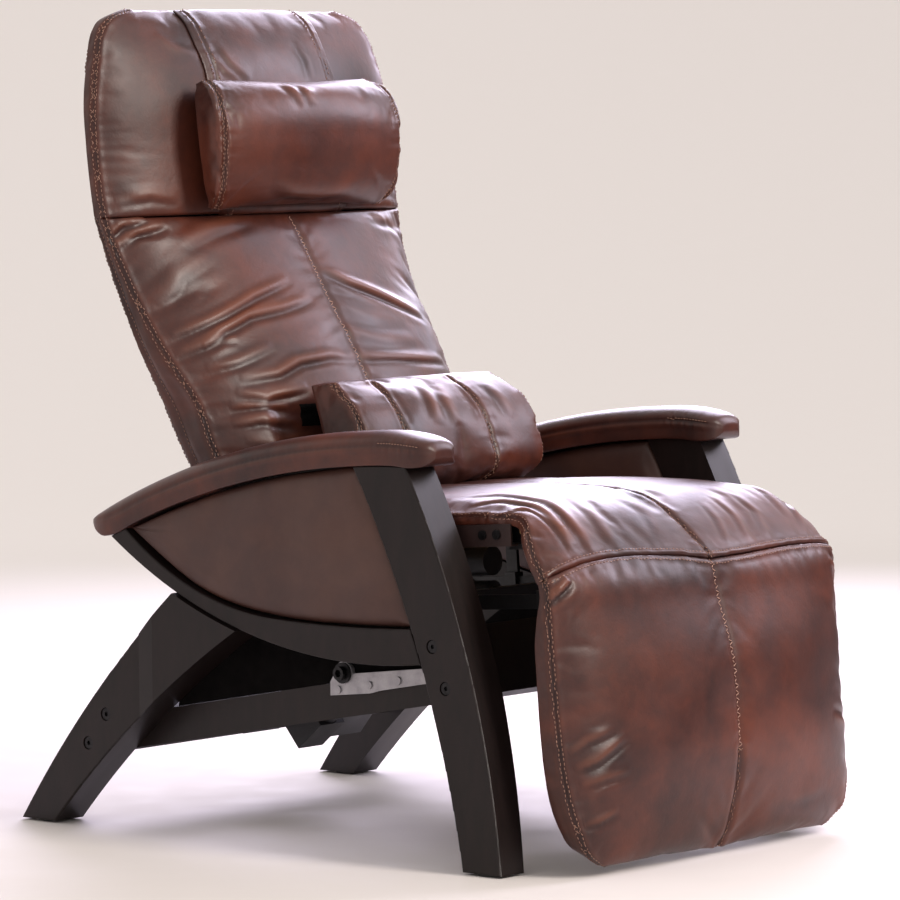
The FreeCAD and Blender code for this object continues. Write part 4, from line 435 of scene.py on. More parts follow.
class Pad:
    """A pad as a closed box of quads: along its length, across its width and through its depth."""

    def __init__(self, name: str, points: np.ndarray, lines: Sequence[Line] = (), swell: float = 5.0,
                 slack: float = 0.012, seed: int = 1, held_ends: tuple[bool, bool] = (False, False),
                 held_back: bool = True, ripple: float = 0.3) -> None:
        """Keep the grid and build its mesh.

        Args:
            name: the piece's name.
            points: grid of places in metres, its axes along, across and through.
            lines: seams and folds.
            swell: how far a point may move in the simulation, in millimetres.
            slack: how much larger the hide is cut than the shape.
            seed: picks the ripples of the seams.
            held_ends: whether the first and last rows are fixed.
            held_back: whether the back face is fixed.
            ripple: depth of the wide unevenness, in millimetres.
        """
        self.name, self.lines, self.swell, self.slack = name, list(lines), swell, slack
        self.seed, self.ripple = seed, ripple
        along, across, through = points.shape[:3]
        inside = np.zeros((along, across, through), bool)
        inside[1:-1, 1:-1, 1:-1] = True
        self.ids = np.full(inside.shape, -1)
        self.ids[~inside] = np.arange((~inside).sum())
        self.rest = points[~inside]
        hold = np.zeros(inside.shape, bool)
        hold[:, :, 0] = held_back
        for end, held in zip((0, -1), held_ends):
            hold[end] |= held
        for line in self.lines:
            if line.held:
                for side in self.sides(line):
                    hold[self.index(line, side)] = True
        self.hold = hold[~inside]
        mesh = bpy.data.meshes.new(name)
        mesh.from_pydata(self.rest.tolist(), [], self.quads())
        self.object = bpy.data.objects.new(name, mesh)
        bpy.context.scene.collection.objects.link(self.object)
        turn_out(mesh)

    def quads(self) -> list[tuple[int, ...]]:
        """Faces of the six sides."""
        faces = []
        for axis in range(3):
            for end in (0, -1):
                sheet = np.take(self.ids, end, axis)
                corners = (sheet[:-1, :-1], sheet[1:, :-1], sheet[1:, 1:], sheet[:-1, 1:])
                faces += list(zip(*(c.ravel().tolist() for c in corners)))
        return faces

    def sides(self, line: Line) -> tuple[float, ...]:
        """The line's own side, and its mirror image's."""
        return (1.0, -1.0) if line.mirrored else (1.0,)

    def index(self, line: Line, side: float) -> tuple[Any, ...]:
        """Grid index of a line that follows the grid."""
        along, across, through = self.ids.shape
        start, end = (int(round(share * (along - 1))) for share in line.span)
        if line.where is Where.ROW:
            return (int(round(line.at * (along - 1))), slice(None), through - 1)
        if line.where is Where.COLUMN:
            turn = math.asin(max(-1.0, min(1.0, side * line.at))) / math.pi + 0.5
            return (slice(start, end + 1), int(round(turn * (across - 1))), through - 1)
        column = 0 if side * (line.at or -1.0) < 0 else across - 1
        deep = through - 1 if line.where is Where.RIM else int(round(abs(line.at) * (through - 1)))
        if line.where in (Where.RIM, Where.SIDE):
            return (slice(start, end + 1), column, deep)
        return (slice(0, 0), 0, 0)

    def set_cloth(self) -> None:
        """Give the pad a cloth simulation that blows it up between its held seams."""
        group = self.object.vertex_groups.new(name="held")
        group.add(np.flatnonzero(self.hold).tolist(), 1.0, "REPLACE")
        cloth = self.object.modifiers.new("cloth", "CLOTH")
        for name, value in CLOTH.items():
            setattr(cloth.settings, name, value)
        cloth.settings.shrink_min = -self.slack
        cloth.settings.effector_weights.gravity = 0.0
        cloth.collision_settings.use_collision = False

    def take_cloth(self) -> None:
        """Apply the simulation, with each point's movement capped."""
        graph = bpy.context.evaluated_depsgraph_get()
        blown = per_vertex(self.object.evaluated_get(graph).data)
        self.object.modifiers.clear()
        self.object.vertex_groups.clear()
        move = blown - self.rest
        length = np.linalg.norm(move, axis=1)[:, None]
        cap = self.swell * MM
        self.rest = self.rest + move * (cap * np.tanh(length / cap) / np.maximum(length, 1e-9))
        self.object.data.vertices.foreach_set("co", self.rest.astype(np.float32).ravel())
        self.object.data.update()

    def place(self, line: Line, side: float, tree: BVHTree) -> np.ndarray:
        """Points of a seam or fold on the pad's surface, 2 mm apart."""
        if line.where in CAST:
            axes, axis, start = CAST[line.where]
            way = Vector()
            way[axis] = -math.copysign(1.0, start)
            found = []
            for point in resampled(np.array(line.points, float) * MM * (side, 1.0), 3 * MM):
                origin = Vector()
                origin[axes[0]], origin[axes[1]], origin[axis] = *point, start
                found.append(tree.ray_cast(origin, way)[0])
            return np.array([hit for hit in found if hit is not None])
        row = self.rest[self.ids[self.index(line, side)].ravel()]
        return np.array([tree.find_nearest(Vector(p))[0] for p in resampled(row, 2 * MM)])

    def refine(self) -> None:
        """Subdivide the mesh, then press the seams and folds into it."""
        surface = self.object.modifiers.new("subdivision", "SUBSURF")
        surface.levels = surface.render_levels = 1
        bpy.context.view_layer.update()
        plain_mesh(self.object)
        mesh = self.object.data
        at, out = per_vertex(mesh), per_vertex(mesh, "normal")
        tree = BVHTree.FromObject(self.object, bpy.context.evaluated_depsgraph_get())
        rise, dark = np.zeros(len(at)), np.zeros(len(at))
        rng = np.random.default_rng(self.seed)
        self.stitching: list[tuple[Line, np.ndarray]] = []
        for line in self.lines:
            for side in self.sides(line):
                path = self.place(line, side, tree)
                if len(path) < 3:
                    continue
                add_rise, add_dark = pressed(at, out, path, line, rng)
                rise += add_rise
                dark = np.maximum(dark, add_dark)
                if line.stitches:
                    self.stitching.append((line, path))
        wide = np.array([noise.noise(Vector(p * 13.0) + Vector((self.seed, 0, 0))) for p in at])
        rise += self.ripple * MM * wide
        at = at + out * rise[:, None]
        mesh.vertices.foreach_set("co", at.astype(np.float32).ravel())
        mesh.update()
        # painted shade: the hide darkens in creases and seam valleys by their depth
        store(mesh, "crease_shade", np.clip(dark, 0, 1))
        store(mesh, "wear", np.clip(rise / (2.4 * MM) - 0.2, 0, 1) * 0.4)
        mesh.shade_smooth()

    def dressed(self, node: str, body: str, fill: float, other: str | None = None, hide: str = "leather") -> None:
        """Give the pad its hide, its body and its stitches.

        Args:
            node: the CAD node that it stands for.
            body: the body that it rides on.
            fill: how tightly it is stuffed; not used.
            other: a second body across the knee; with one, the pad's place is baked into its mesh and it rides on no
                body.
            hide: the hide's finish.
        """
        self.object.data.materials.append(finish(hide))
        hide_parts(node)
        carry(self.object, body, other)
        STITCHING.setdefault((body, other), []).extend(
            (line, path, self.object) for line, path in self.stitching)
        LOG.info("%s: %d faces on %s", self.name, len(self.object.data.polygons), body)


STITCHING: dict[tuple[str, str | None], list[tuple[Line, np.ndarray, bpy.types.Object]]] = {}


def carry(piece: bpy.types.Object, body: str, other: str | None = None) -> None:
    """Make a piece ride on a body, or, with a second body, bake its place into its mesh and leave it on no body."""
    if other:
        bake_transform(piece)
    else:
        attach(piece, body)


def turn_out(mesh: bpy.types.Mesh) -> None:
    """Point every face outwards."""
    shell = bmesh.new()
    shell.from_mesh(mesh)
    bmesh.ops.recalc_face_normals(shell, faces=shell.faces)
    shell.to_mesh(mesh)
    shell.free()


def per_vertex(mesh: bpy.types.Mesh, what: str = "co") -> np.ndarray:
    """The place of each of a mesh's vertices, or another vector of theirs."""
    flat = np.empty(len(mesh.vertices) * 3)
    mesh.vertices.foreach_get(what, flat)
    return flat.reshape(-1, 3)


def store(mesh: bpy.types.Mesh, name: str, values: np.ndarray) -> None:
    """Keep a number for each vertex."""
    layer = mesh.attributes.new(name, "FLOAT", "POINT")
    layer.data.foreach_set("value", values.astype(np.float32))


def plain_mesh(piece: bpy.types.Object) -> None:
    """Replace a piece's mesh by what its modifiers make of it."""
    graph = bpy.context.evaluated_depsgraph_get()
    made = bpy.data.meshes.new_from_object(piece.evaluated_get(graph), depsgraph=graph)
    made.name = piece.name
    piece.modifiers.clear()
    piece.data = made


def pressed(at: np.ndarray, out: np.ndarray, path: np.ndarray, line: Line,
            rng: np.random.Generator) -> tuple[np.ndarray, np.ndarray]:
    """How a line moves the surface about it.

    Args:
        at: places of the vertices.
        out: their outward directions.
        path: the line on the surface.
        line: its sizes.
        rng: source of the puckers' phases.

    Returns:
        Rise of each vertex along its outward direction, and how much painted shade darkens the crease there.
    """
    rise, dark = np.zeros(len(at)), np.zeros(len(at))
    reach = max(line.reach * 2.2 if line.pucker else 0.0, line.width * 4.5) * MM
    near = np.flatnonzero(np.all((at > path.min(0) - reach) & (at < path.max(0) + reach), axis=1))
    if not len(near):
        return rise, dark
    run = chord_lengths(path)
    best, which = np.full(len(near), np.inf), np.zeros(len(near), int)
    for start in range(0, len(path), 64):
        gap = np.linalg.norm(at[near][:, None] - path[None, start:start + 64], axis=2)
        nearest = gap.argmin(1)
        value = gap[np.arange(len(near)), nearest]
        better = value < best
        best[better], which[better] = value[better], nearest[better] + start
    keep = best < reach
    near, best, which = near[keep], best[keep], which[keep]
    tangent = np.gradient(path, axis=0)
    tangent /= np.maximum(np.linalg.norm(tangent, axis=1), 1e-9)[:, None]
    side = np.sign(np.einsum("ij,ij->i", np.cross(tangent[which], at[near] - path[which]), out[near]))
    share = run[which] / max(run[-1], 1e-9)
    fade = np.sin(np.pi * np.clip(share, 0, 1)) ** 0.6 if line.fades else np.ones(len(near))
    width, depth = line.width * MM, line.depth * MM
    valley = np.exp(-(best / width) ** 2)
    ridge = np.exp(-((best - 1.9 * width) / (1.5 * width)) ** 2)
    lean = (1.0 + 0.55 * side) if line.fades else 1.0
    move = fade * depth * (line.lip * lean * ridge - valley)
    if line.pucker:
        along = run[which] * 2 * np.pi / (line.wave * MM)
        waves = np.zeros(len(near))
        for stretch in (0.61, 1.0, 1.73):
            phase = rng.uniform(0, 2 * np.pi, 2)
            waves += np.sin(along * stretch + np.where(side > 0, phase[0], phase[1])) / (1 + stretch)
        ease = 1 - np.exp(-(best / (1.2 * width)) ** 2)
        move += line.pucker * MM * waves * ease * np.exp(-best / (line.reach * MM))
    rise[near] = move
    # painted shade, darkest in the valley's middle
    dark[near] = fade * valley * min(1.0, line.depth / 4.0) * 0.85
    return rise, dark


# Stitches

class Stitcher:
    """Rows of stitches along seams, laid by Geometry Nodes."""

    def __init__(self) -> None:
        """Build the node tree."""
        self.tree = bpy.data.node_groups.new("stitch_rows", "GeometryNodeTree")
        face = self.tree.interface
        face.new_socket("Geometry", in_out="INPUT", socket_type="NodeSocketGeometry")
        for name in ("Pitch", "Length", "Thickness", "Swing"):
            face.new_socket(name, in_out="INPUT", socket_type="NodeSocketFloat")
        face.new_socket("Thread", in_out="INPUT", socket_type="NodeSocketMaterial")
        face.new_socket("Geometry", in_out="OUTPUT", socket_type="NodeSocketGeometry")
        tree = self.tree
        given = add_node(tree, "NodeGroupInput").outputs
        curve = add_node(tree, "GeometryNodeMeshToCurve", {"Mesh": given["Geometry"]})
        spaced = add_node(tree, "GeometryNodeResampleCurve", {"Curve": curve.outputs[0], "Length": given["Pitch"]},
                          mode="LENGTH")
        tangent = add_node(tree, "GeometryNodeInputTangent")
        facing = add_node(tree, "GeometryNodeInputNamedAttribute", {"Name": "facing"}, data_type="FLOAT_VECTOR")
        along = add_node(tree, "FunctionNodeAlignRotationToVector", {"Vector": tangent.outputs[0]}, axis="X")
        flat = add_node(tree, "FunctionNodeAlignRotationToVector",
                        {"Rotation": along.outputs[0], "Vector": facing.outputs[0]}, axis="Z", pivot_axis="X")
        index = add_node(tree, "GeometryNodeInputIndex")
        odd = add_node(tree, "ShaderNodeMath", {0: index.outputs[0], 1: 2.0}, operation="MODULO")
        sign = add_node(tree, "ShaderNodeMath", {0: odd.outputs[0], 1: 2.0, 2: -1.0}, operation="MULTIPLY_ADD")
        swing = add_node(tree, "ShaderNodeMath", {0: sign.outputs[0], 1: given["Swing"]}, operation="MULTIPLY")
        turn = add_node(tree, "FunctionNodeAxisAngleToRotation", {"Axis": (0, 0, 1), "Angle": swing.outputs[0]})
        posed = add_node(tree, "FunctionNodeRotateRotation", {0: flat.outputs[0], 1: turn.outputs[0]},
                         rotation_space="LOCAL")
        size = add_node(tree, "ShaderNodeCombineXYZ", {0: given["Length"], 1: given["Thickness"],
                                                       2: given["Thickness"]})
        bead = add_node(tree, "GeometryNodeMeshUVSphere", {"Segments": 6, "Rings": 4, "Radius": 0.5})
        rows = add_node(tree, "GeometryNodeInstanceOnPoints",
                        {"Points": spaced.outputs[0], "Instance": bead.outputs["Mesh"], "Rotation": posed.outputs[0],
                         "Scale": size.outputs[0]})
        real = add_node(tree, "GeometryNodeRealizeInstances", {0: rows.outputs[0]})
        smooth = add_node(tree, "GeometryNodeSetShadeSmooth", {0: real.outputs[0]})
        coloured = add_node(tree, "GeometryNodeSetMaterial", {0: smooth.outputs[0], "Material": given["Thread"]})
        add_node(tree, "NodeGroupOutput", {0: coloured.outputs[0]})

    def row(self, line: Line, path: np.ndarray, offset: float, tree: BVHTree) -> bpy.types.Object | None:
        """One row of stitches beside a seam, or none where the seam is too short."""
        tangent = np.gradient(path, axis=0)
        found, facing = [], []
        for point, way in zip(path, tangent):
            near, out = tree.find_nearest(Vector(point))[:2]
            side = Vector(way).cross(out).normalized()
            spot, out = tree.find_nearest(near + side * offset * MM)[:2]
            if not found or (spot - found[-1]).length > 1.2 * MM:
                found.append(spot + out * STITCH_LIFT * MM)
                facing.append(out)
        if len(found) < 4:
            return None
        mesh = bpy.data.meshes.new("stitch_row")
        mesh.from_pydata([p[:] for p in found], [(i, i + 1) for i in range(len(found) - 1)], [])
        layer = mesh.attributes.new("facing", "FLOAT_VECTOR", "POINT")
        layer.data.foreach_set("vector", np.array(facing, np.float32).ravel())
        row = bpy.data.objects.new("stitch_row", mesh)
        bpy.context.scene.collection.objects.link(row)
        modifier = row.modifiers.new("stitches", "NODES")
        modifier.node_group = self.tree
        thread, length, thickness = STITCHES[line.swing > 0]
        values = {"Pitch": line.pitch * MM, "Length": length * MM, "Thickness": thickness * MM, "Swing": line.swing,
                  "Thread": finish(thread)}
        for socket in self.tree.interface.items_tree:
            if socket.in_out == "INPUT" and socket.name in values:
                modifier[socket.identifier] = values[socket.name]
        bpy.context.view_layer.update()
        plain_mesh(row)
        return row

    def sew(self) -> None:
        """Lay every seam's rows, as one mesh for each body or pair of bodies."""
        for (body, other), seams in STITCHING.items():
            graph = bpy.context.evaluated_depsgraph_get()
            trees = {pad.name: BVHTree.FromObject(pad, graph) for pad in {pad for line, path, pad in seams}}
            rows = [self.row(line, path, offset, trees[pad.name])
                    for line, path, pad in seams for offset in line.stitches]
            rows = [row for row in rows if row]
            if rows:
                name = f"stitches_{body}_{other}" if other else f"stitches_{body}"
                carry(joined(rows, name), body, other)
                LOG.info("%s: %d rows", name, len(rows))


def joined(parts: list[bpy.types.Object], name: str) -> bpy.types.Object:
    """Join meshes into one piece."""
    mesh = bpy.data.meshes.new(name)
    materials: list[bpy.types.Material] = []
    shell = bmesh.new()
    for part in parts:
        thread = [material for material in part.data.materials if material][-1]
        if thread not in materials:
            materials.append(thread)
        part.data.polygons.foreach_set("material_index", [materials.index(thread)] * len(part.data.polygons))
        shell.from_mesh(part.data)
    shell.to_mesh(mesh)
    shell.free()
    for material in materials:
        mesh.materials.append(material)
    for part in parts:
        bpy.data.objects.remove(part)
    mesh.shade_smooth()
    piece = bpy.data.objects.new(name, mesh)
    bpy.context.scene.collection.objects.link(piece)
    return piece


# Shapes of the pads

@dataclass(frozen=True)
class Crown:
    """How a pad's face falls from its middle to its sides, and how far its hem reaches behind, in millimetres."""

    power: float = 2.4
    root: float = 0.435
    hem: float = 0.0

    def share(self, u: np.ndarray) -> np.ndarray:
        """Share of the crown's height at shares of the half width."""
        return np.clip(1 - np.abs(u) ** self.power, 0, None) ** self.root

    def fall(self, u: np.ndarray) -> np.ndarray:
        """How far the hem hangs behind the board's face at shares of the half width."""
        return np.clip((np.abs(u) - 0.972) / 0.006, 0, 1) * self.hem


FIRM, FLAT, LOOSE = Crown(), Crown(2.2, 0.85, 11.5), Crown(2.4, 0.6, 11.5)


def station_rows(stations: Points) -> tuple[np.ndarray, np.ndarray]:
    """Stations as rows of seven numbers, and the distance of each along the pad."""
    rows = np.array([tuple(s) + (0.0,) * (7 - len(s)) for s in stations], float)
    return rows, chord_lengths((rows[:, 0:2] + rows[:, 2:4]) / 2)


def pad_grid(stations: Points, cell: float = 6.0, deep: int = 4, middle_x: float = 0.0, shrink: float = 0.0,
             crown: Crown = FIRM) -> np.ndarray:
    """Grid of a pad through stations.

    Args:
        stations: inner Y and Z, outer Y and Z, half width, height of the side and height of the rear side.
        cell: size of a quad in millimetres.
        deep: number of quads through the side.
        middle_x: the pad's middle.
        shrink: how much the pad starts inside its final shape, in millimetres.
        crown: how its face falls to its sides.

    Returns:
        Places in metres, along, across and through.
    """
    rows, keys = station_rows(stations)
    count = int(round(keys[-1] / cell))
    fine = smooth_rows(keys, rows, np.linspace(0, keys[-1], count + 1))
    across = int(round(2 * rows[:, 4].max() / cell / 2)) * 2
    u = np.sin(np.linspace(-0.5, 0.5, across + 1) * np.pi)
    share = crown.share(u)
    inner, outer = fine[:, 0:2], fine[:, 2:4]
    height = np.linalg.norm(outer - inner, axis=1)[:, None]
    way = (outer - inner) / np.maximum(height, 1e-6)
    rim, rear = np.clip(fine[:, 5:6], 1.0, None), np.clip(fine[:, 6:7], 0.0, None)
    front = rim + (height - rim) * share - shrink * share
    back = rear * (1 - share) - crown.fall(u)
    v = np.linspace(0, 1, deep + 1)
    depth = back[:, :, None] + (front - back)[:, :, None] * v
    x = middle_x + (fine[:, 4:5] - shrink * 0.5) * u
    grid = np.empty(depth.shape + (3,))
    grid[..., 0] = x[:, :, None]
    grid[..., 1] = inner[:, None, None, 0] + way[:, None, None, 0] * depth
    grid[..., 2] = inner[:, None, None, 1] + way[:, None, None, 1] * depth
    return grid * MM


def eased(t: np.ndarray) -> np.ndarray:
    """Smooth step from 0 to 1."""
    t = np.clip(t, 0, 1)
    return t * t * (3 - 2 * t)


def circle(centre: tuple[float, float], radius: float, y: np.ndarray | float) -> np.ndarray | float:
    """Height of a circle's top at Y."""
    return centre[1] + np.sqrt(radius ** 2 - (y - centre[0]) ** 2)


def trough(centre: tuple[float, float], radius: float, y: np.ndarray | float) -> np.ndarray | float:
    """Height of a circle's bottom at Y."""
    return centre[1] - np.sqrt(radius ** 2 - (y - centre[0]) ** 2)


@dataclass
class BackRest:
    """Head and back cushions on the bent board, the flap over the head and the padded cover behind."""

    board: Points = ((215.0, 440.0), (352.0, 765.0), (385.0, 880.0), (412.0, 1110.0), (418.0, 1150.0))
    back: Points = ((452.0, 112.0, 450.0, 244.0, 40.0), (480.0, 108.0, 478.0, 256.0, 48.0),
                    (543.0, 112.0, 538.0, 268.0, 48.0), (614.0, 147.0, 618.0, 279.0, 50.0),
                    (645.0, 161.5, 645.0, 287.0, 44.0), (680.0, 185.0, 685.0, 294.0, 34.0),
                    (753.0, 234.0, 758.0, 300.0, 18.0), (838.0, 287.0, 842.0, 312.0, 7.0),
                    (868.5, 306.0, 870.0, 317.0, 7.0))
    head: Points = ((870.0, 309.0, 872.0, 317.0, 7.0), (925.0, 315.0, 925.0, 318.0, 6.0),
                    (975.0, 321.0, 975.0, 318.0, 6.0), (1038.0, 329.0, 1040.0, 314.0, 8.0),
                    (1090.0, 345.0, 1090.0, 301.0, 8.0), (1135.0, 368.0, 1128.0, 283.0, 7.0),
                    (1158.0, 392.0, 1160.0, 252.0, 6.0), (1166.0, 405.0, 1167.0, 225.0, 5.0))
    cover: Points = ((456.0, 235.0), (543.0, 264.0), (614.0, 275.0), (680.0, 287.0), (765.0, 296.0),
                     (880.0, 309.0), (975.0, 308.0), (1060.0, 303.0), (1110.0, 291.0), (1148.0, 264.0))
    pressed_in: float = 13.0
    flap_half_width: float = 135.0
    flap_line: Points = ((309.0, 874.0), (315.0, 925.0), (321.0, 975.0), (329.0, 1040.0), (345.0, 1090.0),
                         (368.0, 1128.0), (391.0, 1157.0), (402.0, 1165.0), (408.0, 1168.5))
    pads: dict[str, Pad] = field(default_factory=dict)

    def board_point(self, z: float, behind: float = 0.0) -> tuple[float, float]:
        """Point of the board's front at a height, or that far behind it."""
        line = np.array(self.board)
        y = np.interp(z, line[:, 1], line[:, 0])
        slope = (np.interp(z + 2, line[:, 1], line[:, 0]) - np.interp(z - 2, line[:, 1], line[:, 0])) / 4
        size = math.hypot(1, slope)
        return (float(y) + behind / size, z - behind * slope / size)

    def stations(self, rows: Points) -> list[tuple[float, ...]]:
        """Stations on the board from rows of height, front point, half width and side."""
        return [self.board_point(z) + (y, front_z, half_width, rim) for z, y, front_z, half_width, rim in rows]

    def hollow(self, grid: np.ndarray) -> np.ndarray:
        """The back's grid, pressed in behind the lumbar pillow as far as the pillow's slide takes up."""
        x, z = grid[..., 0] / MM, grid[..., 2] / MM
        share = eased((200 - np.abs(x)) / 30) * eased((z - 488) / 30) * eased((625 - z) / 45)
        grid[..., 1] += self.pressed_in * MM * share * np.linspace(0, 1, grid.shape[2])
        return grid

    def make(self) -> list[Pad]:
        """Build the pads before their simulation."""
        back_lines = [
            Line(Where.COLUMN, 0.0, span=(0.1, 0.985), stitches=(0.0,), pitch=5.0, swing=0.95, depth=1.4, width=4.5,
                 pucker=0.35, reach=22.0, wave=34.0),
            Line(Where.RIM, 1.0, mirrored=True, stitches=(-4.0, 4.0), depth=2.6, pucker=0.35, reach=20.0, wave=38.0),
            Line(Where.SIDE, 0.3, mirrored=True, stitches=(0.01,), depth=1.8, pucker=0.3, reach=18.0),
        ] + folds(
            (2.5, 5.0, (-279, 695), (-241, 711), (-201, 726), (-141, 750), (-65, 772)),
            (2.7, 5.6, (-282, 667), (-246, 683), (-212, 703), (-165, 722), (-101, 732), (-34, 746)),
            (1.6, 4.2, (-247, 680), (-221, 691), (-198, 693)),
            (3.4, 5.6, (5, 785), (46, 765), (104, 746), (160, 727), (225, 706)),
            (1.9, 5.0, (-28, 658), (64, 655), (197, 645), (240, 640)),
            (2.5, 5.6, (-219, 633), (-158, 641), (-118, 656), (-61, 662), (-23, 659)),
            (1.6, 5.6, (-254, 647), (-210, 659), (-148, 680)),
            (2.1, 5.0, (-231, 615), (-187, 608), (-119, 620)),
            (2.0, 4.3, (-240, 595), (-196, 600), (-159, 593)),
            (2.0, 5.0, (-244, 571), (-207, 577), (-150, 570)),
            (1.6, 5.0, (-235, 548), (-190, 544), (-120, 552)),
            (2.2, 4.3, (-312, 839), (-291, 854), (-255, 863)),
            (2.1, 5.0, (-305, 824), (-274, 842), (-228, 854)),
            (1.5, 8.7, (-218, 820), (-161, 841), (-80, 858)),
            (1.1, 9.3, (-262, 740), (-232, 778), (-179, 805)),
            (1.6, 6.2, (178, 853), (240, 845), (292, 828)),
            (1.1, 8.7, (-12, 691), (67, 675), (178, 670)),
            (1.1, 9.9, (-7, 728), (56, 707), (157, 695)),
            (1.5, 5.6, (240, 600), (190, 606), (130, 600)),
        )
        self.pads["back_cushion"] = Pad("back_cushion_hide", self.hollow(pad_grid(self.stations(self.back),
                                                                                  shrink=4.0, crown=FLAT)), back_lines,
                                        swell=5.0, slack=0.016, seed=3, held_ends=(False, True))
        head_lines = [
            Line(Where.RIM, 1.0, mirrored=True, stitches=(-4.5, 3.0), depth=2.2, pucker=0.2, reach=16.0, wave=30.0),
        ] + folds(
            (1.4, 6.2, (-300, 884), (-250, 892), (-205, 886)),
            (1.4, 6.2, (298, 885), (255, 893), (210, 888)),
            (1.0, 6.2, (-130, 1110), (-165, 1120), (-190, 1140)),
        )
        self.pads["head_cushion"] = Pad("head_cushion_hide",
                                        pad_grid(self.stations(self.head), shrink=4.0, crown=FLAT), head_lines,
                                        swell=4.5, slack=0.01, seed=5, held_ends=(True, False))
        rows = [self.board_point(z, 11.5) + self.board_point(z, 32.0) + (half_width, 6.0)
                for z, half_width in self.cover]
        cover_lines = [
            Line(Where.RIM, 1.0, mirrored=True, stitches=(-4.0,), depth=2.0, pucker=0.5, reach=18.0),
            Line(Where.ROW, 0.6, stitches=(-4.0, 4.0), depth=2.4, pucker=0.6, reach=24.0, wave=26.0),
            Line(Where.COLUMN, 0.0, stitches=(-3.5, 3.5), depth=2.2, pucker=0.5, reach=22.0, wave=24.0),
        ]
        self.pads["back_cover"] = Pad("back_cover_hide", pad_grid(rows, cell=8.0, deep=2, shrink=3.0), cover_lines,
                                      swell=4.5, slack=0.01, seed=7)
        return list(self.pads.values())

    def flap(self, head: Pad) -> Pad:
        """The flap that carries the head pillow, laid on the finished head cushion."""
        tree = BVHTree.FromObject(head.object, bpy.context.evaluated_depsgraph_get())
        line = np.array(self.flap_line)
        fine = smooth_rows(chord_lengths(line), line, np.linspace(0, chord_lengths(line)[-1], 58))
        way = np.gradient(fine, axis=0)
        way /= np.linalg.norm(way, axis=1)[:, None]
        grid = np.empty((len(fine), 49, 3, 3))
        for i, (y, z) in enumerate(fine):
            inward = Vector((0.0, way[i][1], -way[i][0]))
            for j in range(49):
                share = j / 24 - 1
                x = share * (self.flap_half_width + 1.5 * math.sin(i * 0.35 + 2.0 * share)) * MM
                start = Vector((x, y * MM, z * MM)) - inward * 0.06
                spot, out = tree.ray_cast(start, inward)[:2]
                if spot is None:
                    spot, out = Vector((x, y * MM, z * MM)), -inward
                lift = 4.6 + 1.2 * noise.noise(Vector((x * 25, z * 0.02, 3.0))) - 1.6 * abs(share) ** 8
                for k in range(3):
                    grid[i, j, k] = spot + out * (0.3 + (lift - 0.3) * k / 2) * MM
        lines = [
            Line(Where.COLUMN, 0.985, mirrored=True, stitches=(-4.5, 4.5), depth=1.6, width=2.4, pucker=0.5,
                 reach=14.0, held=False),
        ] + folds(
            (1.1, 6.2, (-108, 1118), (-92, 1085), (-60, 1058)),
            (0.9, 5.6, (-118, 1092), (-104, 1072), (-78, 1060)),
            (0.9, 6.8, (60, 1120), (72, 1090), (70, 1062)),
        )
        return Pad("head_flap_hide", grid, lines, swell=2.0, slack=0.0, seed=9, ripple=0.5)

    def dress(self) -> None:
        """Finish every pad and lay the flap."""
        for pad in self.pads.values():
            pad.refine()
        self.pads["head_flap"] = self.flap(self.pads["head_cushion"])
        self.pads["head_flap"].refine()
        for (node, pad), fill in zip(self.pads.items(), (0.7, 0.8, 0.5, 0.2)):
            pad.dressed(node, "back", fill)


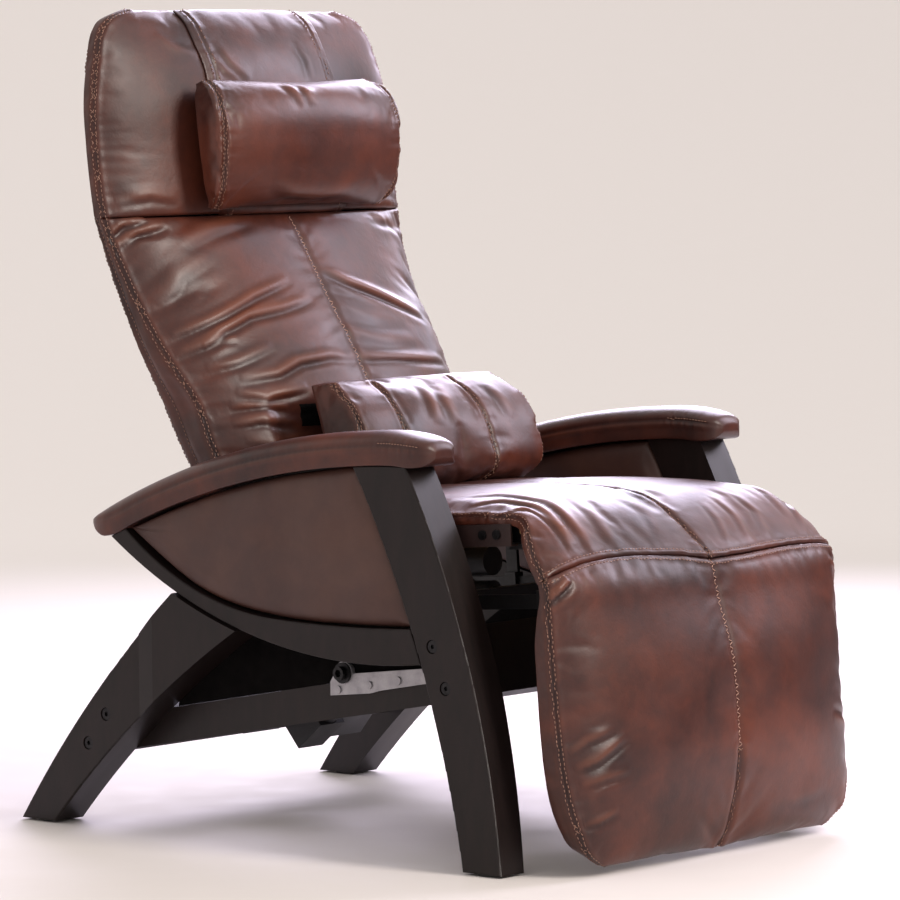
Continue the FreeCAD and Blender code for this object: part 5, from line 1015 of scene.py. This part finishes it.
@dataclass
class SeatAndLegRest:
    """Seat cushion and leg rest cushion, which meet in the double seam over the knee hinge."""

    board_top: float = 72.0
    on_board: Points = ((548.0, 548.0, 28.0, 240.0, 12.0), (500.0, 500.0, 40.0, 262.0, 16.0),
                        (350.0, 350.0, 44.0, 266.0, 14.0), (230.0, 225.0, 41.0, 268.0, 12.0),
                        (150.0, 140.0, 32.0, 268.0, 12.0))
    lip: Points = ((95.0, 66.0, 82.0, 91.0, 270.0, 12.0), (68.0, 42.0, 38.0, 59.0, 296.0, 12.0),
                   (45.0, 12.0, 8.0, 34.0, 310.0, 12.0), KNEE_INNER + KNEE_OUTER + (314.0, 12.0))
    calf: Points = ((-427.0, 350.0, -484.0, 357.0, 316.0, 14.0), (-431.0, 280.0, -507.0, 286.0, 316.0, 16.0),
                    (-435.0, 205.0, -517.0, 212.0, 314.0, 18.0), (-440.5, 140.0, -520.0, 148.0, 311.0, 20.0),
                    (-446.5, 100.0, -515.0, 100.0, 307.0, 22.0), (-455.0, 64.0, -504.5, 58.0, 298.0, 22.0),
                    (-461.5, 36.0, -494.0, 27.0, 281.0, 17.0), (-467.0, 17.0, -480.0, 7.5, 250.0, 8.0))
    scallop: Points = ((-314.0, 0.0), (-290.0, 5.0), (-245.0, 12.0), (-200.0, 14.0), (-150.0, 12.0), (-60.0, 1.0),
                       (0.0, -10.0), (80.0, -8.0), (180.0, -2.0), (260.0, 0.0), (314.0, -2.0))
    cell: float = 6.0
    ease: int = 14
    pads: dict[str, Pad] = field(default_factory=dict)

    def hides(self) -> tuple[np.ndarray, np.ndarray]:
        """Grids of the seat's and the leg rest's hides, cut from one shape along a seam that wanders from its row."""
        rows = []
        for inner_back, outer_back, rise, half_width, rim in self.on_board:
            rows.append(seat_point(inner_back, self.board_top) + seat_point(outer_back, self.board_top + rise)
                        + (half_width, rim))
        for inner_back, inner_up, outer_back, outer_up, half_width, rim in self.lip:
            rows.append(seat_point(inner_back, inner_up) + seat_point(outer_back, outer_up) + (half_width, rim))
        knee = len(rows) - 1
        rows += list(self.calf)
        keys = station_rows(rows)[1]
        firm, loose = (pad_grid(rows, self.cell, shrink=3.5, crown=crown) for crown in (FIRM, LOOSE))
        count = len(firm) - 1
        seam = int(round(keys[knee] / keys[-1] * count))
        row = np.arange(count + 1.0)
        weight = eased((row - seam - 2) * keys[-1] / count / 90.0)[:, None, None, None]
        whole = firm * (1 - weight) + loose * weight
        table = np.array(self.scallop)
        shift = np.interp(whole[seam, :, :, 0] / MM, table[:, 0], table[:, 1]) / self.cell
        shift = shift * np.linspace(0, 1, whole.shape[2])
        parts = []
        for first, last in ((0, seam), (seam, count)):
            part = row[first:last + 1]
            near = eased(1 - np.abs(part - seam) / self.ease)[:, None, None]
            at = part[:, None, None] - shift * near
            low = np.clip(at.astype(int), 0, count - 1)
            across, through = np.indices(whole.shape[1:3])
            share = (at - low)[..., None]
            parts.append(whole[low, across, through] * (1 - share) + whole[low + 1, across, through] * share)
        return parts[0], parts[1]

    def make(self) -> list[Pad]:
        """Build both pads before their simulation."""
        seat, calf = self.hides()
        seat_lines = [
            Line(Where.COLUMN, 0.0, stitches=(-3.6, 3.6), depth=2.8, width=3.4, pucker=0.35,
                 reach=26.0, wave=30.0),
            Line(Where.RIM, 1.0, mirrored=True, span=(0.72, 1.0), stitches=(-4.0, 4.0), depth=2.6, pucker=0.4,
                 reach=20.0, wave=26.0),
            Line(Where.RIM, 1.0, mirrored=True, span=(0.0, 0.7), stitches=(-4.0,), depth=2.2, pucker=0.7,
                 reach=22.0, wave=34.0),
        ] + folds(
            (2.5, 6.2, (-221, -203), (-192, -252), (-200, -335), (-216, -402), (-226, -436)),
            (2.7, 5.6, (-250, -246), (-228, -289), (-236, -370), (-246, -420)),
            (2.2, 4.3, (-262, -330), (-246, -351), (-246, -393), (-256, -428)),
            (1.4, 8.1, (-134, -242), (-150, -324), (-168, -399), (-188, -440)),
            (1.2, 5.0, (116, -372), (116, -412), (98, -451)),
            (1.1, 5.0, (80, -385), (69, -420), (47, -455)),
            (1.1, 5.6, (165, -370), (170, -409), (144, -447)),
            (1.7, 5.0, (262, -340), (276, -385), (252, -434)),
            (1.4, 5.6, (236, -320), (244, -370), (232, -420)),
            (0.9, 8.1, (-70, -352), (-60, -394), (-82, -435)),
            where=Where.TOP)
        self.pads["seat"] = Pad("seat_cushion_hide", seat, seat_lines, seed=11, held_ends=(False, True))
        calf_lines = [
            Line(Where.COLUMN, 0.0, span=(0.0, 0.66), stitches=(0.0,), pitch=5.0, swing=0.95, depth=1.4, width=4.5,
                 pucker=0.2, reach=20.0, wave=34.0),
            Line(Where.COLUMN, 0.0, span=(0.66, 1.0), stitches=(-3.4,), depth=3.0, width=5.0, pucker=0.3,
                 reach=24.0, wave=34.0),
            Line(Where.RIM, 1.0, mirrored=True, stitches=(-3.8, 3.8), depth=2.6, pucker=0.4, reach=20.0, wave=32.0),
        ] + folds(
            (2.1, 5.0, (-298, 140), (-267, 153), (-221, 183)),
            (1.7, 5.0, (-300, 162), (-279, 179), (-241, 194)),
            (1.5, 4.3, (-293, 119), (-257, 129), (-219, 135)),
            (1.7, 4.2, (-290, 67), (-267, 73), (-237, 84)),
            (4.3, 4.2, (-314, 368), (-300, 380), (-280, 396)),
            (1.5, 5.6, (309, 150), (272, 170), (236, 180)),
            (2.2, 4.3, (314, 368), (300, 380), (282, 394)),
            (0.7, 7.4, (80, 60), (140, 52), (220, 58)),
        )
        self.pads["calf"] = Pad("legrest_cushion_hide", calf, calf_lines, seed=13, held_ends=(True, False))
        return list(self.pads.values())

    def dress(self) -> None:
        """Finish both pads, with the double seam over the knee."""
        for key, offset in (("seat", -2.4), ("calf", 2.4)):
            pad = self.pads[key]
            step = 1.0 / (pad.ids.shape[0] - 1)
            pad.lines.append(Line(Where.ROW, 1 - step if key == "seat" else step, stitches=(offset,), depth=-1.2,
                                  width=3.4, pucker=0.35, reach=16.0, held=False))
            pad.refine()
        self.pads["seat"].dressed("seat_cushion", "seat", 0.7, "leg_rest")
        self.pads["calf"].dressed("legrest_cushion", "seat", 0.6, "leg_rest")


@dataclass
class SideFrames:
    """Armrest pads and leather leaf panels of both side frames."""

    under: tuple[tuple[float, float], float] = ((-222.9, -803.2), 1346.4)
    top: tuple[tuple[float, float], float] = ((-210.7, -741.3), 1331.3)
    middle_x: float = 313.5
    half_width: float = 38.5
    band: float = 27.0
    body_ys: tuple[float, ...] = (-205.0, -120.0, -10.0, 100.0, 200.0, 285.0, 330.0)
    nose: Points = ((-261.0, 554.0, 570.0, 18.0, 8.0), (-257.0, 548.0, 576.5, 27.0, 16.0),
                    (-247.0, 543.5, 582.0, 34.0, 23.0), (-231.0, 541.5, 586.5, 37.5, 27.0))
    tail: Points = ((353.0, 421.0, 464.5, 36.5, 24.0), (375.0, 429.5, 453.5, 29.0, 13.0),
                    (389.0, 437.0, 447.0, 18.0, 4.0))
    arc_bottom: tuple[tuple[float, float], float] = ((-143.5, 1112.5), 841.8)
    arc_heights: Points = ((-250.0, 48.0), (-110.0, 48.4), (20.0, 35.8), (172.0, 21.9), (312.0, 31.9))
    leg_back: Points = ((-316.5, 3.0), (-248.0, 268.0), (-119.0, 550.0))
    leaf_tip: float = 309.0
    leaf_top: float = 541.5
    leaf_cells: tuple[int, int] = (92, 36)
    rear_leg_front: Points = ((72.0, 314.0), (302.0, 152.0), (458.0, 3.0))
    rail_top: tuple[float, float] = (-60.0, 237.0)
    rail_fall: float = 0.182
    # reach, lap and place across of the black sheets of painted shade inside the frames
    shade_sheet_reach: tuple[float, float] = (-244.4, 262.0)
    shade_sheet_lap: float = 12.0
    shade_sheet_x: float = 289.4
    pads: list[tuple[Pad, str]] = field(default_factory=list)

    def arm_rows(self) -> list[tuple[float, ...]]:
        """Stations of an armrest pad from its nose to its tail."""
        nose, tail = ([(y, low, y, high, half_width, band) for y, low, high, half_width, band in rows]
                      for rows in (self.nose, self.tail))
        return nose + [(y, circle(*self.under, y), y, circle(*self.top, y), self.half_width, self.band)
                       for y in self.body_ys] + tail

    def leaf(self, x_edge: float, x_crown: float) -> np.ndarray:
        """Grid of a puffed leaf between leg, arc rail and armrest."""
        low = np.array([(y, trough(*self.arc_bottom, y) + height) for y, height in self.arc_heights])
        fine = smooth_rows(low[:, 0], low, np.linspace(low[0, 0], low[-1, 0], 200))
        leg = np.array(self.leg_back)
        fit = np.polyfit(leg[:, 1], leg[:, 0], 2)
        corner = fine[np.argmin(np.abs(fine[:, 0] - np.polyval(fit, fine[:, 1])))]
        a, b = (np.linspace(0, 1, count + 1) for count in self.leaf_cells)
        top_start = np.polyval(fit, self.leaf_top)
        low_y = corner[0] + (self.leaf_tip - corner[0]) * a
        low_z = np.interp(low_y, fine[:, 0], fine[:, 1]) + 0.6
        top_y = top_start + (self.leaf_tip - top_start) * a
        top_z = np.maximum(circle(*self.under, top_y) - 0.8, low_z + 0.5)
        grid = np.empty((len(a), len(b), 3, 3))
        y = low_y[:, None] + (top_y - low_y)[:, None] * b
        z = low_z[:, None] + (top_z - low_z)[:, None] * b
        y = y + (np.polyval(fit, z) - (corner[0] + (top_start - corner[0]) * b)) * (1 - a[:, None]) ** 6
        puff = ((1 - np.abs(2 * a - 1) ** 8)[:, None].clip(0) ** 0.5) * ((1 - np.abs(2 * b - 1) ** 8).clip(0) ** 0.5)
        for k in range(3):
            grid[:, :, k, 0] = x_edge + (x_crown - x_edge) * (0.7 + 0.3 * puff) * k / 2
            grid[:, :, k, 1] = y + 0.8
            grid[:, :, k, 2] = z
        return grid * MM

    def make(self) -> list[Pad]:
        """Build the pads of both sides before their simulation."""
        for side, name in ((1.0, "left"), (-1.0, "right")):
            turn = np.array([side, 1.0, 1.0])
            arm_lines = [
                Line(Where.RIM, 1.0, mirrored=True, depth=2.2, width=2.4, lip=0.5, pucker=0.2, reach=9.0,
                     wave=24.0),
                Line(Where.RIM, 1.0, mirrored=True, span=(0.03, 0.13), stitches=(2.6,), pitch=5.0, depth=0.8,
                     width=2.4, pucker=0.8, reach=8.0, wave=8.0, held=False),
            ]
            grid = pad_grid(self.arm_rows(), cell=5.0, deep=4, middle_x=self.middle_x, shrink=2.0) * turn
            arm = Pad(f"arm_pad_{name}_hide", grid, arm_lines, swell=3.0, slack=0.0, seed=17)
            self.pads.append((arm, f"arm_pad_{name}"))
            for kind, edge, crown in (("outer", 321.0, 343.0), ("inner", 305.0, 285.5)):
                leaf = Pad(f"{kind}_panel_{name}_hide", self.leaf(edge, crown) * turn, [], swell=2.0, slack=0.0,
                           seed=19, ripple=0.6)
                self.pads.append((leaf, f"{kind}_panel_{name}"))
        return [pad for pad, node in self.pads]

    def dress(self) -> None:
        """Finish every pad, and add the black sheets of painted shade inside both frames."""
        for pad, node in self.pads:
            pad.refine()
            pad.dressed(node, "base", 0.7, hide="leather_panel" if "panel" in node else "leather")
        self.lining(1.0, "left")
        self.lining(-1.0, "right")

    def lining(self, side: float, name: str) -> None:
        """Black sheet of painted shade that closes the gap between the arc rail and the side rail, stretched inside
        the frame where the chair's inside lies in shadow.
        """
        fit = np.polyfit(*np.array(self.rear_leg_front).T, 2)
        y = np.linspace(*self.shade_sheet_reach, 72)
        low = self.rail_top[1] - self.rail_fall * (y - self.rail_top[0]) + 0.3
        high = np.minimum(trough(*self.arc_bottom, y), np.polyval(fit, y)) + self.shade_sheet_lap
        high = np.maximum(high, low + 1.0)
        share = np.linspace(0, 1, 17)
        grid = np.empty((len(y), len(share), 2, 3))
        for k in range(2):
            grid[:, :, k, 0] = side * (self.shade_sheet_x + 1.2 * k)
        grid[..., 1] = y[:, None, None]
        grid[..., 2] = (low[:, None] + (high - low)[:, None] * share)[:, :, None]
        # a black sheet that stands for the shadow inside the chair: painted shade
        piece = Pad(f"frame_shade_sheet_{name}", grid * MM).object
        piece.data.materials.append(finish("lining"))
        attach(piece, "base")


@dataclass
class Pillows:
    """The loose head and lumbar pillows, with the lumbar pillow's straps."""

    head: Points = ((304.0, 880.0, 285.0, 879.0, 182.0, 12.0, 5.0), (306.6, 900.0, 262.0, 897.0, 192.0, 30.0, 10.0),
                    (312.0, 940.0, 246.0, 935.0, 197.0, 44.0, 12.0), (318.0, 985.0, 241.0, 980.0, 198.0, 52.0, 12.0),
                    (323.4, 1025.0, 247.0, 1024.0, 197.0, 50.0, 12.0),
                    (326.7, 1050.0, 268.0, 1053.0, 191.0, 36.0, 10.0),
                    (328.3, 1062.0, 300.0, 1066.0, 180.0, 16.0, 5.0))
    lumbar: Points = ((85.0, 492.0, -5.0, 488.0, 176.0, 72.0, 30.0), (98.0, 520.0, -30.0, 505.0, 186.0, 105.0, 40.0),
                      (108.0, 562.0, -22.0, 555.0, 190.0, 112.0, 45.0), (122.0, 600.0, 8.0, 606.0, 186.0, 100.0, 42.0),
                      (132.0, 630.0, 55.0, 637.0, 173.0, 62.0, 25.0))
    bands: tuple[tuple[str, tuple[float, float], tuple[float, float]], ...] = (
        ("lumbar_strap", (-45.0, 45.0), (596.0, 626.0)), ("lumbar_strap_near", (-150.0, -100.0), (572.0, 604.0)))
    slide: tuple[float, float, float] = (0.0, 14.2, 26.4)
    pads: dict[str, Pad] = field(default_factory=dict)

    def make(self) -> list[Pad]:
        """Build both pillows before their simulation."""
        head_lines = [
            Line(Where.COLUMN, 0.95, mirrored=True, stitches=(-5.5, -0.5, 4.5), depth=2.2, pucker=0.7, reach=18.0,
                 wave=22.0),
        ] + folds(
            (1.8, 7.0, (-24, 1060), (-25, 1046), (-19, 1023)),
            (1.4, 8.0, (-58, 1056), (-46, 1040), (-40, 1022)),
            (1.6, 10.0, (-100, 905), (-60, 893), (10, 888), (90, 893)),
        )
        self.pads["head"] = Pad("head_pillow_hide", pad_grid(self.head, cell=5.0, deep=6, shrink=4.0), head_lines,
                                slack=0.014, seed=23, held_back=False)
        lumbar_lines = [
            Line(Where.RIM, 1.0, mirrored=True, stitches=(-4.5, 3.5), depth=2.6, pucker=0.5, reach=14.0, wave=20.0),
            Line(Where.COLUMN, -0.58, stitches=(-3.5, 3.5), depth=2.6, pucker=0.6, reach=20.0, wave=24.0),
            Line(Where.COLUMN, 0.38, stitches=(-3.5, 3.5), depth=2.8, pucker=0.6, reach=20.0, wave=24.0),
        ] + folds(
            (1.8, 8.0, (-3, 628), (-15, 608), (-16, 573)),
            (1.6, 8.0, (-33, 629), (-43, 609), (-57, 582)),
            (1.4, 9.0, (100, 624), (108, 600), (112, 575)),
        )
        self.pads["lumbar"] = Pad("lumbar_pillow_hide", pad_grid(self.lumbar, cell=5.0, deep=12, shrink=4.0),
                                  lumbar_lines, swell=6.0, slack=0.018, seed=29)
        return list(self.pads.values())

    def band(self, name: str, places: list[list[Vector]], facing: list[list[Vector]]) -> None:
        """A band of webbing through rows of places, with the way that each faces."""
        grid = np.array([[[spot + out * thickness for thickness in (2.4 * MM, 4.4 * MM)]
                          for spot, out in zip(*rows)] for rows in zip(places, facing)])
        piece = Pad(name, grid).object
        edge = piece.modifiers.new("edge", "BEVEL")
        edge.width, edge.segments = 0.5 * MM, 2
        bpy.context.view_layer.update()
        plain_mesh(piece)
        piece.data.materials.append(finish("lining"))
        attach(piece, "lumbar_pillow")

    def straps(self) -> None:
        """The webbing behind the lumbar pillow: a short one upwards, and one that shows beyond its near end."""
        cushion = bpy.data.objects["back_cushion_hide"]
        tree = BVHTree.FromObject(cushion, bpy.context.evaluated_depsgraph_get())

        def laid(x: float, z: float) -> tuple[Vector, Vector]:
            """Place and facing on the cushion at X and Z, clear of it over the whole slide."""
            hits = []
            for share in (0.0, 0.5, 1.0):
                way = Vector(self.slide) * share
                spot, out = tree.ray_cast(Vector((x, -500.0, z + way.z)) * MM, Vector((0, 1, 0)))[:2]
                hits.append((spot.y - way.y * MM, out))
            return Vector((x * MM, min(y for y, out in hits), z * MM)), hits[0][1]

        for name, (x_low, x_high), (z_low, z_high) in self.bands:
            places, facing = [], []
            for x in np.linspace(x_low, x_high, max(2, int((x_high - x_low) / 4))):
                spots = [laid(x, z) for z in np.linspace(z_low, z_high, max(2, int((z_high - z_low) / 4)))]
                places.append([spot for spot, out in spots])
                facing.append([out for spot, out in spots])
            self.band(name, places, facing)

    def dress(self) -> None:
        """Finish both pillows and lay the strap."""
        for pad in self.pads.values():
            pad.refine()
        self.pads["head"].dressed("head_pillow", "head_pillow", 0.8)
        self.pads["lumbar"].dressed("lumbar_pillow", "lumbar_pillow", 0.85)
        self.straps()


# Carried-over solids

@dataclass
class Carpentry:
    """Finishes of the solids that stay as they are, with a finish of their own for those that differ in their slot;
    the seat rail wraps get leather darkened as painted shade.
    """

    # the seat rail wraps get leather darkened as painted shade
    own: dict[str, str] = field(default_factory=lambda: {"pivot_plates": "plate_steel", "plate_screws": "plate_steel",
                                                         "seat_rail_wraps": "leather_painted_shade"})

    def dress(self) -> None:
        """Give every shown solid the material of its slot."""
        slots = {part["node"]: part["material_slot"] for part in frame["record"]["subparts"]}
        for name, node in frame["nodes"].items():
            node.data.materials.clear()
            node.data.materials.append(finish(self.own.get(name, slots[name])))
        LOG.info("%d solids finished", len(slots))


# Studio

@dataclass
class Studio:
    """Pale floor that runs up into a backdrop, soft lights and the camera at the photograph's angle."""

    azimuth: float = 49.006
    elevation: float = 4.353
    distance: float = 7.0957
    focal_px: float = 4984.2
    shift_px: tuple[float, float] = (0.73, 25.33)
    roll: float = -0.503
    frame_px: float = 900.0
    target: tuple[float, float, float] = (0.0, 0.0, 0.5)
    air: str = "#f0eae7"
    dim_air: str = "#3a3433"
    dim_way: tuple[float, float, float] = (0.7, -0.526, -0.482)
    lamps: tuple[tuple[str, tuple[float, float, float], tuple[float, float], float, str], ...] = (
        ("front", (0.1, -3.9, 2.9), (0.9, 2.4), 66.0, "#fff6ee"),
        ("rim", (3.4, -1.7, 2.8), (1.3, 2.0), 38.0, "#ebe4f8"),
        ("behind", (3.2, 2.1, 2.5), (2.4, 2.4), 95.0, "#ece4ff"),
        ("edge", (-5.2, -4.4, 2.0), (0.25, 0.25), 2.5, "#ffffff"),
    )

    def camera(self) -> None:
        """Set the camera."""
        a, e, r = (math.radians(v) for v in (self.azimuth, self.elevation, self.roll))
        back = Vector((-math.sin(a) * math.cos(e), -math.cos(a) * math.cos(e), math.sin(e)))
        right = (-back).cross(Vector((0, 0, 1))).normalized()
        up = right.cross(-back)
        right, up = right * math.cos(r) + up * math.sin(r), up * math.cos(r) - right * math.sin(r)
        data = bpy.data.cameras.new("camera")
        data.sensor_width = 36.0
        data.lens = self.focal_px / self.frame_px * data.sensor_width
        data.shift_x = -self.shift_px[0] / self.frame_px
        data.shift_y = self.shift_px[1] / self.frame_px
        data.clip_end = 100.0
        eye = bpy.data.objects.new("camera", data)
        bpy.context.scene.collection.objects.link(eye)
        turn = Matrix((right, up, back)).transposed()
        eye.matrix_world = Matrix.Translation(Vector(self.target) + back * self.distance) @ turn.to_4x4()
        bpy.context.scene.camera = eye

    def lamp(self, name: str, place: tuple[float, float, float], size: tuple[float, float], power: float,
             colour: str) -> None:
        """One soft light that faces the chair."""
        data = bpy.data.lights.new(name, "AREA")
        data.shape = "RECTANGLE"
        data.size, data.size_y = size
        data.energy = power
        data.color = linear(colour)[:3]
        data.spread = math.radians(110.0)
        light = bpy.data.objects.new(name, data)
        light.location = place
        light.visible_camera = False
        light.rotation_euler = (Vector((0, 0, 0.6)) - Vector(place)).to_track_quat("-Z", "Y").to_euler()
        bpy.context.scene.collection.objects.link(light)

    def floor(self) -> None:
        """A floor that curves up into a wall, all round, out of the chair's reach."""
        rings = [(radius, 0.0) for radius in (0.02, 1.0, 2.5, 4.0)]
        rings += [(4.5 + 6.0 * math.sin(t), 6.0 - 6.0 * math.cos(t)) for t in np.linspace(0, 0.75, 14)]
        count = 96
        shell = [(r * math.cos(2 * math.pi * i / count), r * math.sin(2 * math.pi * i / count), z)
                 for r, z in rings for i in range(count)]
        faces = [tuple(range(count))]
        for k in range(len(rings) - 1):
            for i in range(count):
                j = (i + 1) % count
                faces.append((k * count + i, (k + 1) * count + i, (k + 1) * count + j, k * count + j))
        mesh = bpy.data.meshes.new("studio_floor")
        mesh.from_pydata(shell, [], faces)
        mesh.shade_smooth()
        mesh.materials.append(finish("floor"))
        piece = bpy.data.objects.new("studio_floor", mesh)
        bpy.context.scene.collection.objects.link(piece)

    def build(self) -> None:
        """Build the floor, the lights and the camera."""
        self.floor()
        world = bpy.data.worlds.new("studio_air")
        world.use_nodes = True
        tree = world.node_tree
        place = add_node(tree, "ShaderNodeTexCoord").outputs["Generated"]
        toward = add_node(tree, "ShaderNodeVectorMath", {0: place, 1: self.dim_way}, operation="DOT_PRODUCT")
        colour = mixed(tree, step_between(tree, toward.outputs["Value"], 0.6, 0.9), linear(self.air),
                       linear(self.dim_air))
        tree.links.new(colour, tree.nodes["Background"].inputs["Color"])
        tree.nodes["Background"].inputs["Strength"].default_value = 0.98
        bpy.context.scene.world = world
        for name, place, size, power, colour in self.lamps:
            self.lamp(name, place, size, power, colour)
        self.camera()
        bpy.context.scene.view_settings.view_transform = "Standard"


def simulate(pads: Sequence[Pad], frames: int = 20) -> None:
    """Blow up all pads at once and keep the last frame's shapes."""
    for pad in pads:
        pad.set_cloth()
    for step in range(1, frames + 1):
        bpy.context.scene.frame_set(step)
    for pad in pads:
        pad.take_cloth()
    bpy.context.scene.frame_set(1)


def main() -> None:
    """Build the chair's looks sub-assembly by sub-assembly."""
    logging.basicConfig(level=logging.INFO, format="%(name)s: %(message)s")
    Studio().build()
    Carpentry().dress()
    groups = [BackRest(), SeatAndLegRest(), SideFrames(), Pillows()]
    pads = [pad for group in groups for pad in group.make()]
    simulate(pads)
    for group in groups:
        group.dress()
    Stitcher().sew()


if __name__ == "__main__":
    main()
